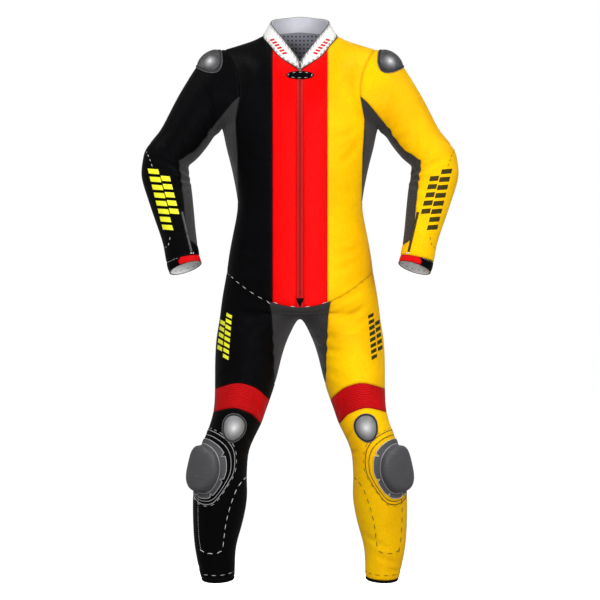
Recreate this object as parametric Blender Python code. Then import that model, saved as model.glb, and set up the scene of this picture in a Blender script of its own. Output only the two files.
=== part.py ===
"""One-piece leather motorcycle race suit, filled out and hollow, in its riding stance.

Sizes are in millimetres and become metres where a mesh is made. X runs to the wearer's left, the
front faces -Y, and Z = 0 is the level of the shoulders beside the neck, where a wearer carries it.

The suit is one smooth form of quads: rings round the trunk, the sleeves, the legs and the collar.
Seams are lines drawn on that form. They cut its faces into panels, and each panel gets the leather's
thickness along normals that it shares with its neighbours, so the walls meet squarely at a seam.
Caps, sliders and patches are laid on the form along the direction that they face.
"""

import math

import bmesh
import bpy
from mathutils import Matrix, Vector
from mathutils.bvhtree import BVHTree
from mathutils.geometry import tessellate_polygon

MM = 0.001
LEATHER = 2.0  # wall of a panel, leather with its backing
LINING = 1.2  # wall of a lining or a facing
SEAM_GAP = 0.3  # between two panels
LINING_GAP = 0.4  # between a panel and what lines it
LINING_FOOT = -240  # the back's lining ends at this level
SQUARENESS = 2.4  # exponent of the trunk's section, where 2 is an ellipse
SNAP = 0.22  # a seam this near a vertex, as a share of the edge, runs through the vertex
NEAR = 2.0  # a fixed vertex this near a seam counts as on it
LONGEST_MITRE = 2.5

# --- the trunk ---
TRUNK_ROWS = (
    # side_z, front_z, back_z, half_width, front, back
    (-238, -235, -235, 205.0, 131, 122),
    (-280, -280, -280, 195.0, 131, 118),
    (-325, -328, -325, 184.0, 129, 111),
    (-372, -378, -370, 173.5, 126, 103),
    (-419, -430, -415, 165.5, 122, 98),
    (-455, -474, -450, 165.5, 120, 98),
    (-495, -528, -487, 172.5, 119, 104),
    (-535, -587, -522, 180.5, 119, 112),
    (-575, -648, -556, 187.5, 118, 121),
    (-615, -709, -590, 193.0, 115, 129),
    (-655, -717, -640, 200.0, 111, 137),
    (-695, -724, -690, 206.5, 105, 139),
    (-735, -730, -735, 211.5, 99, 131),
)
WAIST_ROW = 9
TUCKS = {10: (6, 2), 11: (14, 6), 12: (26, 12)}  # row: how far its front and back centre are drawn in
TUCK_WIDTH = 95
CROTCH_LINE = ((0, -42, -737), (0, 6, -739), (0, 64, -738))  # front to back, between the legs

# --- the yoke: chest and shoulder blades above the armpit ---
CHEST_LEVEL, BLADE_LEVEL = -200, -180
BLADE_SWELL = 4  # how much the shoulder blades stand out beyond the row below them
SHOULDER_RIDGE = (
    (0, -45), (34, -38), (60, -21), (83, -6), (97, 12), (119, 0), (146, -10), (179, -18), (205, -26),
)
BACK_RIDGE = ((0, 58), (52, 41), (97, 12), (119, 0), (146, -10), (179, -18), (205, -26))
ARMHOLE = (
    # x_front, x_back, front, back, z
    (187, 192, 55, 52, -226),
    (171, 181, 80, 72, -190),
    (160, 174, 89, 82, -146),
    (165, 177, 76, 72, -95),
    (182, 188, 44, 44, -50),
)
ARMPIT = (205, 0, -238)
SHOULDER_POINT = (199, 0, -26)
SHOULDER_MIDDLE = (146, 0, -10)
FRONT_YOKE = {
    # (row, column): (x, z)
    (1, 0): (0, -185), (1, 1): (72.5, -185), (1, 2): (112, -186), (1, 3): (145, -188),
    (2, 0): (0, -133), (2, 1): (70, -133), (2, 2): (106, -138), (2, 3): (136, -142),
    (3, 2): (98, -73), (3, 3): (133, -85), (4, 3): (138, -42),
}
YOKE_ROWS = 5

# --- the neck and the collar, from the centre front round to the centre back ---
NECK = (
    # base x, y, z, top x, y, z
    (0, -80, -81, 0, -86, -66),
    (34, -76, -60, 12, -82, -41),
    (60, -64, -41, 28, -72, -20),
    (83, -38, -12, 54, -46, 14),
    (97, 0, 12, 76, -5, 48),
    (52, 52, 18, 42, 42, 58),
    (0, 66, 22, 0, 55, 62.5),
)
NECK_SIDE, NECK_BACK, NECK_NAPE = 4, 5, 6  # rows of the neck where the yoke's back columns end
COLLAR_LEVELS = 2

# --- the sleeves ---
SLEEVE_OUTER = (
    (-26, 199), (-31, 222), (-41, 243), (-58, 262), (-80, 278), (-108, 296), (-174, 334), (-212, 353),
    (-258, 381), (-272, 395), (-309, 413), (-358, 418), (-382, 413), (-461, 387), (-547, 359), (-589, 352),
    (-617, 344),
)
SLEEVE_INNER = (
    (-238, 205), (-251, 224), (-279, 244), (-309, 268), (-323, 283), (-337, 296), (-370, 292), (-407, 286),
    (-467, 280), (-547, 271), (-574, 265), (-591, 260),
)
SLEEVE_ROWS = (
    # outer_z, inner_z, mid_y, half_depth, lean in degrees
    (-30, -243, 0, 83, 0),
    (-44, -254, -1, 79, 0),
    (-72, -272, -3, 75, 0),
    (-110, -291, -6, 72, 0),
    (-155, -309, -9, 69, 0),
    (-203, -323, -13, 66, 2),
    (-248, -333, -17, 64, 4),
    (-285, -343, -21, 63, 6),
    (-322, -354, -25, 62, 8),
    (-358, -368, -31, 61, 11),
    (-394, -384, -39, 60, 13),
    (-430, -404, -50, 59, 16),
    (-468, -436, -64, 57, 18),
    (-508, -476, -78, 53, 18),
    (-549, -522, -92, 49, 14),
    (-589, -571, -106, 45, 8),
    (-617, -591, -114, 43, 17),
)
SLEEVE_COLUMNS = 12

# --- the legs ---
LEG_OUTER = (
    (-695, 206.5), (-735, 211.5), (-798, 221), (-856, 224), (-923, 224), (-984, 228), (-1026, 240), (-1050, 249),
    (-1100, 262), (-1150, 273), (-1217, 283), (-1283, 282), (-1338, 278), (-1390, 269), (-1431, 260),
)
LEG_INNER = (
    (-739, 0), (-778, 28), (-839, 49), (-917, 69), (-954, 82), (-1033, 111), (-1060, 126), (-1090, 136),
    (-1121, 140), (-1160, 141.5), (-1186, 140), (-1238, 145), (-1283, 154), (-1322, 167), (-1364, 172),
    (-1427, 174),
)
LEG_ROWS = (
    # outer_z, inner_z, mid_y, half_depth, lean in degrees
    (-763, -769, 12, 113, 0),
    (-792, -808, 5, 107, 3),
    (-825, -851, -5, 101, 6),
    (-862, -897, -18, 95, 9),
    (-902, -940, -33, 88, 11),
    (-942, -980, -47, 82, 10),
    (-981, -1016, -60, 77, 6),
    (-1020, -1050, -69, 73, 0),
    (-1060, -1086, -72, 71, -6),
    (-1102, -1122, -66, 70, -10),
    (-1146, -1162, -53, 70, -12),
    (-1192, -1204, -39, 69, -13),
    (-1240, -1248, -26, 66, -13),
    (-1290, -1295, -14, 60, -13),
    (-1342, -1344, -5, 53, -13),
    (-1394, -1392, 2, 47.5, -13),
    (-1423, -1419, 5, 45.5, -13),
    (-1431, -1427, 6, 45, -13),
)
LEG_ANGLES_TOP = (0, 27, 50, 75, 108, 145, 165, 180)  # degrees from the outer side round to the inner
LEG_ANGLES = (0, 26, 51, 77, 103, 129, 154, 180)
LEG_SETTLES = 5  # rows over which the first set of angles becomes the second

# --- seams, as outlines in the front view: |x|, z ---
CENTRE_PANEL = 72.5
ZIP_TAPE = 8.75
UNDERARM = (
    (159, -150), (171, -212), (169, -258), (166, -303), (165, -349), (163, -425), (200, -545), (269, -545),
    (287, -533), (295, -530), (303, -471), (307, -425), (312, -382), (317, -340), (318, -320), (277, -294),
    (256, -270), (235, -237), (207, -202), (179, -168),
)
CROTCH_EDGE = ((-690, 82), (-737, 74), (-839, 69), (-906, 67.5), (-917, 66))
KNEE_BAND_TOP = ((60, -985), (81, -952), (123, -918), (163, -908), (224, -923), (245, -931))
KNEE_BAND_FOOT = ((80, -1050), (108, -1011), (130, -989), (177, -974), (226, -984), (250, -992))
CUFF_SPLIT = 323

# --- what is laid on the panels ---
FLAP = {"level": -95, "size": (36.5, 11), "thick": 1.5}
TAB = {"top": -685, "foot": -704, "half": 10, "thick": 1.5}
SLEEVE_ZIP = {"top": (311, -457), "foot": (286, -562), "half": 3.2, "thick": 1.5}
SHOULDER_CAP = {
    "at": (241, -27, -50), "facing": (0.56, -0.40, 0.73), "up": (0.10, 0.91, 0.40), "rim": (40, 57), "nearby": 11,
}
KNEE_CAP = {
    "at": (173, -150, -1026), "facing": (0.05, -1.0, 0.0), "up": (0, 0, 1), "rim": (33, 41), "nearby": 7,
}
SLIDER = {
    "axis": (204, -56, -1134), "facing": (0.76, -0.65, 0), "radius": 68, "size": (78, 96),
    "rings": (0.34, 0.67, 0.82, 1.0), "nearby": 15,
}  # the puck ends on the second ring, its base on the third
CLEAR = 0.5  # of a laid piece above the facets that it spans
NEARBY = 7.0  # how far round a point the highest facet counts
FRONT_PLANE = -160  # a level in front of the whole suit
HIGH = 60.0  # a height that is above everything the piece spans
CAP_RIM_THICK, CAP_STEP = 2.5, 6.0  # the rim's height and width
CAP_CLEAR = 1.2  # of a dome, which spans wider facets, above the form
CAP_EDGE, CAP_DOME = 2.0, 12.0  # the dome's thickness at its edge, and how much more at its middle
PATCH_THICK, BASE_THICK, PUCK_THICK = 1.5, 3.0, 28.0
PUCK_ROUNDING = 12.0  # how much thinner the puck is at its rim
LAID_GAP = 0.4  # between two laid pieces

COLOURS = {
    # name: colour, roughness, metallic
    "black leather": ((0.012, 0.012, 0.013), 0.45, 0.0),
    "red leather": ((0.78, 0.008, 0.006), 0.42, 0.0),
    "yellow leather": ((0.92, 0.53, 0.005), 0.42, 0.0),
    "white leather": ((0.86, 0.86, 0.85), 0.42, 0.0),
    "stretch cloth": ((0.045, 0.043, 0.045), 0.85, 0.0),
    "ribbed leather": ((0.42, 0.008, 0.012), 0.45, 0.0),
    "grey facing": ((0.50, 0.50, 0.56), 0.75, 0.0),
    "mesh lining": ((0.10, 0.10, 0.12), 0.85, 0.0),
    "zip tape": ((0.36, 0.012, 0.010), 0.6, 0.0),
    "gunmetal": ((0.20, 0.20, 0.21), 0.32, 1.0),
    "silver": ((0.52, 0.52, 0.54), 0.3, 1.0),
    "hook plastic": ((0.09, 0.09, 0.10), 0.55, 0.0),
    "puck plastic": ((0.08, 0.078, 0.085), 0.4, 0.0),
}


# ---------------------------------------------------------------- reading the tables
def reader(table):
    """A smooth function through a table's rows, which never overshoots them (a monotone cubic)."""
    rows = sorted(table)
    at = [row[0] for row in rows]
    value = [row[1] for row in rows]
    slope = [(value[k + 1] - value[k]) / (at[k + 1] - at[k]) for k in range(len(rows) - 1)]
    tangent = [slope[0]]
    for before, after in zip(slope, slope[1:]):
        tangent.append(0.0 if before * after <= 0 else 2 * before * after / (before + after))
    tangent.append(slope[-1])

    def read(x):
        if x <= at[0]:
            return value[0]
        if x >= at[-1]:
            return value[-1]
        k = max(k for k in range(len(at) - 1) if at[k] <= x)
        span = at[k + 1] - at[k]
        t = (x - at[k]) / span
        return (
            value[k] * (2 * t**3 - 3 * t**2 + 1)
            + value[k + 1] * (3 * t**2 - 2 * t**3)
            + span * tangent[k] * (t**3 - 2 * t**2 + t)
            + span * tangent[k + 1] * (t**3 - t**2)
        )

    return read


def blend(a, b, share):
    return a + (b - a) * share


def section(depth, width_share):
    """How far the trunk's section stands off its side-to-side line, at a share of its half width."""
    return depth * (1 - min(abs(width_share), 1) ** SQUARENESS) ** (1 / SQUARENESS)


# ---------------------------------------------------------------- the form
class Form:
    """The suit's outer surface: points, faces, and what each face is part of."""

    def __init__(self):
        self.points = []
        self.names = {}
        self.faces = []
        self.parts = []
        self.pinned = set()
        self.normals = []

    def point(self, name, place=None):
        """The index of the point with this name, made at place when it is new."""
        if name not in self.names:
            self.names[name] = len(self.points)
            self.points.append(Vector(place))
        return self.names[name]

    def face(self, part, corners):
        self.faces.append(tuple(corners))
        self.parts.append(part)

    def sides(self):
        return ((-1, "R"), (1, "L"))


def columns_of(half_width):
    """Shares of the half width at which the trunk's columns stand, from the centre to the side."""
    first = math.asin((CENTRE_PANEL / half_width) ** (SQUARENESS / 2))
    angles = [blend(first, math.pi / 2, k / 4) for k in range(5)]
    return [0.0] + [math.sin(angle) ** (2 / SQUARENESS) for angle in angles]


def trunk_place(row, face, column, side):
    side_z, front_z, back_z, half_width, front, back = TRUNK_ROWS[row]
    share = columns_of(half_width)[column]
    centre_z, depth = (front_z, -front) if face == "front" else (back_z, back)
    z = side_z + (centre_z - side_z) * (1 - share**2)
    x, y = half_width * share, section(depth, share)
    tuck = TUCKS.get(row, (0, 0))[face == "back"] * max(0, 1 - (x / TUCK_WIDTH) ** 2) ** 2
    return (side * x, y - math.copysign(tuck, depth), z)


def trunk_name(row, face, column, side):
    """One name for each point, so that faces on both sides of a line share it."""
    if column == 0:
        side = 0
    if column == 5:
        face = "side"
    return ("trunk", row, face, column, side)


def add_trunk(form):
    for row in range(len(TRUNK_ROWS)):
        for face in ("front", "back"):
            for side, _ in form.sides():
                for column in range(6):
                    if row == 0 and column == 5:
                        place = (side * ARMPIT[0], ARMPIT[1], ARMPIT[2])
                    elif row == 0 and column == 4:
                        place = armhole_place(0, face, side)
                    else:
                        place = trunk_place(row, face, column, side)
                    form.point(trunk_name(row, face, column, side), place)
    for row in range(len(TRUNK_ROWS) - 1):
        part = "body" if row < WAIST_ROW else "hip"
        for face in ("front", "back"):
            for side, letter in form.sides():
                for column in range(5):
                    corners = [
                        form.point(trunk_name(row + r, face, column + c, side))
                        for r, c in ((0, 0), (0, 1), (1, 1), (1, 0))
                    ]
                    form.face(f"{part} {face} {letter}", corners)


def armhole_place(row, face, side):
    x_front, x_back, front, back, z = ARMHOLE[row]
    return (side * x_front, -front, z) if face == "front" else (side * x_back, back, z)


def yoke_name(row, face, column, side):
    """Names of the yoke's points. The shoulder line and the collar's seam belong to both faces."""
    if row == 0:
        return trunk_name(0, face, column, side)
    if column == 4 and row == YOKE_ROWS:
        return ("shoulder point", side)
    if column == 4:
        return ("armhole", row, face, side)
    if column == 3 and row == YOKE_ROWS:
        return ("shoulder middle", side)
    on_neck = {(3, 0): 0, (3, 1): 1, (4, 1): 2, (4, 2): 3, (5, 2): 4} if face == "front" else {
        (5, 2): 4, (5, 1): 5, (5, 0): 6}
    if (row, column) in on_neck:
        place = on_neck[row, column]
        return ("neck", place, 0 if place in (0, 6) else side)
    return ("yoke", row, face, column, 0 if column == 0 else side)


def yoke_place(row, face, column, side, ridge, back_ridge):
    if face == "front":
        x, z = FRONT_YOKE[row, column]
        reach = max(0, (z - CHEST_LEVEL) / (ridge(x) - CHEST_LEVEL))
        depth = section(TRUNK_ROWS[0][4], x / ARMPIT[0])
        return (side * x, -depth * math.sqrt(1 - min(reach, 1) ** 2), z)
    share = row / YOKE_ROWS
    lowest = trunk_place(0, "back", column, 1)
    highest = (NECK[NECK_NAPE], NECK[NECK_BACK], NECK[NECK_SIDE], SHOULDER_MIDDLE)[column]
    x = blend(lowest[0], highest[0], share)
    edge = armhole_place(row, "back", 1)
    centre_z = blend(TRUNK_ROWS[0][2], NECK[NECK_NAPE][2], share)
    z = blend(centre_z, edge[2], (x / edge[0]) ** 2)
    reach = max(0, (z - BLADE_LEVEL) / (back_ridge(x) - BLADE_LEVEL))
    depth = section(TRUNK_ROWS[0][5] + BLADE_SWELL, x / ARMPIT[0])
    return (side * x, depth * math.sqrt(1 - min(reach, 1) ** 2), z)


def add_yoke(form):
    ridge, back_ridge = reader(SHOULDER_RIDGE), reader(BACK_RIDGE)
    for side, _ in form.sides():
        form.point(("shoulder point", side), (side * SHOULDER_POINT[0], *SHOULDER_POINT[1:]))
        form.point(("shoulder middle", side), (side * SHOULDER_MIDDLE[0], *SHOULDER_MIDDLE[1:]))
        for place, row in enumerate(NECK):
            form.point(("neck", place, 0 if place in (0, 6) else side), (side * row[0], row[1], row[2]))
    for face in ("front", "back"):
        for side, letter in form.sides():
            for row in range(1, YOKE_ROWS + 1):
                for column in range(5):
                    name = yoke_name(row, face, column, side)
                    beyond_neck = face == "front" and name[0] == "yoke" and (row, column) not in FRONT_YOKE
                    if name in form.names or beyond_neck:
                        continue
                    if name[0] == "armhole":
                        form.point(name, armhole_place(row, face, side))
                    else:
                        form.point(name, yoke_place(row, face, column, side, ridge, back_ridge))
            for row in range(YOKE_ROWS):
                first = {3: 1, 4: 2}.get(row, 0) if face == "front" else 0
                for column in range(first, 4):
                    corners = [
                        form.names[yoke_name(row + r, face, column + c, side)]
                        for r, c in ((0, 0), (0, 1), (1, 1), (1, 0))
                    ]
                    form.face(f"body {face} {letter}", corners)


def add_collar(form):
    """The collar is open at the centre front, so each half has its own points there."""
    for side, letter in form.sides():
        for place, row in enumerate(NECK):
            middle = 0 if place == 6 else side
            base, top = Vector(row[:3]), Vector(row[3:])
            for level in range(COLLAR_LEVELS + 1):
                x, y, z = base.lerp(top, level / COLLAR_LEVELS)
                form.point(("collar", level, place, middle), (side * x, y, z))
        for place in range(len(NECK) - 1):
            for level in range(COLLAR_LEVELS):
                corners = []
                for up, along in ((0, 0), (0, 1), (1, 1), (1, 0)):
                    middle = 0 if place + along == 6 else side
                    corners.append(form.names["collar", level + up, place + along, middle])
                form.face(f"collar {letter}", corners)


def ring(inner, outer, mid_y, half_depth, lean, angles):
    """An ellipse of points. An angle of 0 is the inner point, 90 the front and 180 the outer one."""
    (inner_x, inner_z), (outer_x, outer_z) = inner, outer
    places = []
    for angle in angles:
        share = (1 - math.cos(math.radians(angle))) / 2
        forward = half_depth * math.sin(math.radians(angle))
        places.append((
            blend(inner_x, outer_x, share),
            mid_y - forward * math.cos(math.radians(lean)),
            blend(inner_z, outer_z, share) + forward * math.sin(math.radians(lean)),
        ))
    return places


def add_sleeves(form):
    outer, inner = reader(SLEEVE_OUTER), reader(SLEEVE_INNER)
    angles = [360 * k / SLEEVE_COLUMNS for k in range(SLEEVE_COLUMNS)]
    for side, letter in form.sides():
        loop = [form.names[trunk_name(0, "side", 5, side)]]
        loop += [form.names[yoke_name(row, "front", 4, side)] for row in range(YOKE_ROWS + 1)]
        loop += [form.names[yoke_name(row, "back", 4, side)] for row in range(YOKE_ROWS - 1, -1, -1)]
        for row, (outer_z, inner_z, mid_y, half_depth, lean) in enumerate(SLEEVE_ROWS):
            places = ring((inner(inner_z), inner_z), (outer(outer_z), outer_z), mid_y, half_depth, lean, angles)
            after = [
                form.point(("sleeve", row, column, side), (side * x, y, z))
                for column, (x, y, z) in enumerate(places)
            ]
            part = "cuff" if row == len(SLEEVE_ROWS) - 1 else "sleeve"
            for column in range(SLEEVE_COLUMNS):
                beyond = (column + 1) % SLEEVE_COLUMNS
                face = "front" if column < SLEEVE_COLUMNS // 2 else "back"
                form.face(f"{part} {face} {letter}", (loop[column], loop[beyond], after[beyond], after[column]))
            loop = after


def leg_angles(row):
    share = min(row / LEG_SETTLES, 1)
    half = [180 - blend(first, last, share) for first, last in zip(LEG_ANGLES_TOP, LEG_ANGLES)]
    return half + [360 - angle for angle in half[-2:0:-1]]


def add_legs(form):
    outer, inner = reader(LEG_OUTER), reader(LEG_INNER)
    last = len(TRUNK_ROWS) - 1
    crotch = [form.point(("crotch", place), where) for place, where in enumerate(CROTCH_LINE)]
    for side, letter in form.sides():
        loop = [form.names[trunk_name(last, "front", column, side)] for column in (5, 4, 3, 2, 1, 0)]
        loop += crotch
        loop += [form.names[trunk_name(last, "back", column, side)] for column in (0, 1, 2, 3, 4)]
        for row, (outer_z, inner_z, mid_y, half_depth, lean) in enumerate(LEG_ROWS):
            places = ring(
                (inner(inner_z), inner_z), (outer(outer_z), outer_z), mid_y, half_depth, lean, leg_angles(row)
            )
            after = [
                form.point(("leg", row, column, side), (side * x, y, z))
                for column, (x, y, z) in enumerate(places)
            ]
            part = "hem" if row == len(LEG_ROWS) - 1 else "leg"
            for column in range(len(loop)):
                beyond = (column + 1) % len(loop)
                face = "front" if column < len(loop) // 2 else "back"
                form.face(f"{part} {face} {letter}", (loop[column], loop[beyond], after[beyond], after[column]))
            loop = after


def settle_normals(form):
    """Turns every face outwards and gives every point its smooth normal."""
    mesh = bmesh.new()
    corners = [mesh.verts.new(place) for place in form.points]
    made = [mesh.faces.new([corners[k] for k in face]) for face in form.faces]
    bmesh.ops.recalc_face_normals(mesh, faces=mesh.faces)
    mesh.verts.index_update()
    chest = form.parts.index("body front L")
    turn = made[chest].normal.y > 0
    for k, face in enumerate(made):
        around = [corner.index for corner in face.verts]
        form.faces[k] = tuple(reversed(around)) if turn else tuple(around)
    mesh.normal_update()
    form.normals = [(-corner.normal if turn else corner.normal).copy() for corner in corners]
    mesh.free()
    for name, index in form.names.items():
        if name[0] == "collar" and name[2] == 0:
            form.normals[index].x = 0  # the collar's ends stay on their own sides of the middle
            form.normals[index].normalize()


def pin_edges(form):
    """Points that stay put when a seam passes near: the silhouette's lines and the rims."""
    for name, index in form.names.items():
        kind = name[0]
        if kind in ("neck", "collar", "crotch", "armhole", "shoulder point", "shoulder middle"):
            form.pinned.add(index)
        elif kind == "trunk" and (name[3] in (0, 5) or name[1] in (0, WAIST_ROW, len(TRUNK_ROWS) - 1)):
            form.pinned.add(index)
        elif kind == "yoke" and name[3] == 0:
            form.pinned.add(index)
        elif kind == "sleeve" and (name[2] in (0, SLEEVE_COLUMNS // 2) or name[1] >= len(SLEEVE_ROWS) - 2):
            form.pinned.add(index)
        elif kind == "leg" and (name[2] in (0, 7) or name[1] >= len(LEG_ROWS) - 2):
            form.pinned.add(index)


def make_form():
    form = Form()
    add_trunk(form)
    add_yoke(form)
    add_collar(form)
    add_sleeves(form)
    add_legs(form)
    settle_normals(form)
    pin_edges(form)
    return form


# ---------------------------------------------------------------- seams
def beside(limit):
    """Positive further from the middle than the limit."""
    return lambda p: abs(p.x) - limit


def beside_edge(table):
    edge = reader(table)
    return lambda p: abs(p.x) - edge(p.z)


def above(table):
    line = reader(table)
    return lambda p: p.z - line(abs(p.x))


def outside(outline):
    """The distance in the front view to a closed outline, negative within it."""

    def measure(p):
        x, z = abs(p.x), p.z
        nearest, within = math.inf, False
        for (ax, az), (bx, bz) in zip(outline, outline[1:] + outline[:1]):
            dx, dz = bx - ax, bz - az
            t = max(0, min(1, ((x - ax) * dx + (z - az) * dz) / (dx * dx + dz * dz)))
            nearest = min(nearest, math.hypot(x - ax - t * dx, z - az - t * dz))
            if (az > z) != (bz > z) and x < ax + (z - az) / dz * dx:
                within = not within
        return -nearest if within else nearest

    return measure


def crossing(line, near, far):
    """The share of the way from near to far at which line(point) changes its sign."""
    low, high, sign = 0.0, 1.0, line(near)
    for _ in range(14):
        middle = (low + high) / 2
        if line(near.lerp(far, middle)) * sign > 0:
            low = middle
        else:
            high = middle
    return (low + high) / 2


def seam(form, line, parts):
    """Cuts the faces of these parts along line(point) = 0."""
    chosen = {k for k, part in enumerate(form.parts) if part.startswith(parts)}
    value = {k: line(form.points[k]) for face in chosen for k in form.faces[face]}
    edges = {tuple(sorted(pair)) for face in chosen for pair in ring_pairs(form.faces[face])}
    for k in value:
        if k in form.pinned and abs(value[k]) < NEAR:
            value[k] = 0.0
    moves = {}
    for a, b in edges:
        if value[a] * value[b] >= 0:
            continue
        for near, far in ((a, b), (b, a)):
            share = crossing(line, form.points[near], form.points[far])
            if share < SNAP and near not in form.pinned and share < moves.get(near, (1,))[0]:
                moves[near] = (share, far)
    start = {k: form.points[k].copy() for k in value}
    for near, (share, far) in moves.items():
        form.points[near] = start[near].lerp(start[far], share)
        value[near] = 0.0
    cuts = {}
    for a, b in edges:
        if value[a] * value[b] < 0:
            share = crossing(line, form.points[a], form.points[b])
            cuts[a, b] = len(form.points)
            form.points.append(form.points[a].lerp(form.points[b], share))
            form.normals.append(form.normals[a].lerp(form.normals[b], share).normalized())
            value[cuts[a, b]] = 0.0
    for k, face in enumerate(list(form.faces)):
        around = []
        for a, b in ring_pairs(face):
            around.append(a)
            if tuple(sorted((a, b))) in cuts:
                around.append(cuts[tuple(sorted((a, b)))])
        if k in chosen:
            halves = [[p for p in around if value[p] * sign >= 0] for sign in (1, -1)]
            if all(any(value[p] * sign > 0 for p in half) for half, sign in zip(halves, (1, -1))):
                form.faces[k] = tuple(halves[0])
                form.faces.append(tuple(halves[1]))
                form.parts.append(form.parts[k])
                continue
        form.faces[k] = tuple(around)
    form.pinned |= {k for k in value if value[k] == 0.0}


def ring_pairs(face):
    return zip(face, face[1:] + face[:1])


def triangles(form, face):
    """A face as triangles, so that every wall made from it has the same facets."""
    places = [form.points[k] for k in face]
    if len(face) == 4:
        short = (places[0] - places[2]).length < (places[1] - places[3]).length
        corners = ((0, 1, 2), (0, 2, 3)) if short else ((0, 1, 3), (1, 2, 3))
        return [tuple(face[k] for k in corner) for corner in corners]
    return [tuple(face[k] for k in corner) for corner in tessellate_polygon([places])]


def cut_panels(form):
    """Draws every seam, and gives {panel: its faces}."""
    underarm = outside(UNDERARM)
    crotch_edge = beside_edge(CROTCH_EDGE)
    band_top, band_foot = above(KNEE_BAND_TOP), above(KNEE_BAND_FOOT)
    centre, tape, split = beside(CENTRE_PANEL), beside(ZIP_TAPE), beside(CUFF_SPLIT)
    seam(form, centre, ("body",))
    seam(form, tape, ("body front",))
    seam(form, underarm, ("body", "sleeve"))
    seam(form, crotch_edge, ("hip front", "leg"))
    seam(form, band_top, ("leg front",))
    seam(form, band_foot, ("leg front",))
    seam(form, split, ("cuff",))
    crotch_foot, crotch_top = CROTCH_EDGE[-1][0], CROTCH_EDGE[0][0]
    panels = {}
    for face, part in zip(form.faces, form.parts):
        kind, letter = part.rsplit(" ", 1)
        middle = sum((form.points[k] for k in face), Vector()) / len(face)
        if kind == "collar":
            panel = "collar"
        elif kind.startswith("cuff"):
            panel = f"cuff_{'outer' if split(middle) > 0 else 'inner'}_{letter}"
        elif kind.startswith("hem"):
            panel = f"hem_{letter}"
        elif kind.startswith(("body", "sleeve")) and underarm(middle) < 0:
            panel = f"underarm_{letter}"
        elif kind.startswith("sleeve"):
            panel = f"sleeve_{letter}"
        elif kind == "body front" and tape(middle) < 0:
            panel = "zip"
        elif kind == "body front":
            panel = f"front_{'side' if centre(middle) > 0 else 'centre'}_{letter}"
        elif kind == "body back":
            panel = f"back_side_{letter}" if centre(middle) > 0 else "back_centre"
        elif crotch_edge(middle) < 0 and kind != "hip back" and crotch_foot < middle.z < crotch_top:
            panel = "crotch"
        elif kind in ("hip front", "leg front") and band_top(middle) > 0:
            panel = f"thigh_front_{letter}"
        elif kind == "leg front" and band_foot(middle) > 0:
            panel = f"knee_band_{letter}"
        elif kind == "leg front":
            panel = f"shin_front_{letter}"
        else:
            panel = f"leg_back_{letter}"
        panels.setdefault(panel, []).extend(triangles(form, face))
    return panels


# ---------------------------------------------------------------- solids
def mitres(form, faces, gap):
    """How far each rim point of a panel draws back into it, so that a gap opens at the seam."""
    count = {}
    for face in faces:
        for a, b in ring_pairs(face):
            count[tuple(sorted((a, b)))] = count.get(tuple(sorted((a, b))), 0) + 1
    inward = {}
    for face in faces:
        for a, b in ring_pairs(face):
            if count[tuple(sorted((a, b)))] == 1:
                along = (form.points[b] - form.points[a]).normalized()
                for k in (a, b):
                    inward.setdefault(k, []).append(form.normals[k].cross(along).normalized())
    shift = {}
    for k, ways in inward.items():
        total = sum(ways, Vector())
        if len(ways) == 2 and total.length > 0.05:
            shift[k] = total * (gap / 2) / (1 + ways[0].dot(ways[1]))
        elif total.length > 1e-6:
            shift[k] = total.normalized() * gap / 2
        else:
            shift[k] = Vector()
        if shift[k].length > LONGEST_MITRE:
            shift[k] = shift[k].normalized() * LONGEST_MITRE
    return shift, {edge for edge, uses in count.items() if uses == 1}


def wall(form, name, faces, colour, depth=0.0, thickness=LEATHER, gap=SEAM_GAP):
    """A panel as a closed wall, from depth below the form's surface down by its thickness."""
    shift, rim = mitres(form, faces, gap)
    mesh = bmesh.new()
    outer, inner = {}, {}
    for k in sorted({k for face in faces for k in face}):
        place = form.points[k] + shift.get(k, Vector())
        outer[k] = mesh.verts.new(place - form.normals[k] * depth)
        inner[k] = mesh.verts.new(place - form.normals[k] * (depth + thickness))
    for face in faces:
        mesh.faces.new([outer[k] for k in face])
        mesh.faces.new([inner[k] for k in reversed(face)])
        for a, b in ring_pairs(face):
            if tuple(sorted((a, b))) in rim:
                mesh.faces.new([outer[b], outer[a], inner[a], inner[b]])
    return finish(name, mesh, colour)


def finish(name, mesh, colour, sharp=40):
    """Makes the object: triangles, metres, smooth shading with sharp rims, and its colour."""
    bmesh.ops.triangulate(mesh, faces=mesh.faces, quad_method="SHORT_EDGE", ngon_method="EAR_CLIP")
    bmesh.ops.recalc_face_normals(mesh, faces=mesh.faces)
    bmesh.ops.scale(mesh, vec=(MM, MM, MM), verts=mesh.verts)
    data = bpy.data.meshes.new(name)
    mesh.to_mesh(data)
    mesh.free()
    data.shade_smooth()
    data.set_sharp_from_angle(angle=math.radians(sharp))
    data.materials.append(material(colour))
    made = bpy.data.objects.new(name, data)
    bpy.context.scene.collection.objects.link(made)
    return made


def material(name):
    if name in bpy.data.materials:
        return bpy.data.materials[name]
    colour, roughness, metallic = COLOURS[name]
    made = bpy.data.materials.new(name)
    made.use_nodes = True
    shader = made.node_tree.nodes["Principled BSDF"]
    shader.inputs["Base Color"].default_value = (*colour, 1)
    shader.inputs["Roughness"].default_value = roughness
    shader.inputs["Metallic"].default_value = metallic
    made.diffuse_color = (*colour, 1)
    return made


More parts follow.
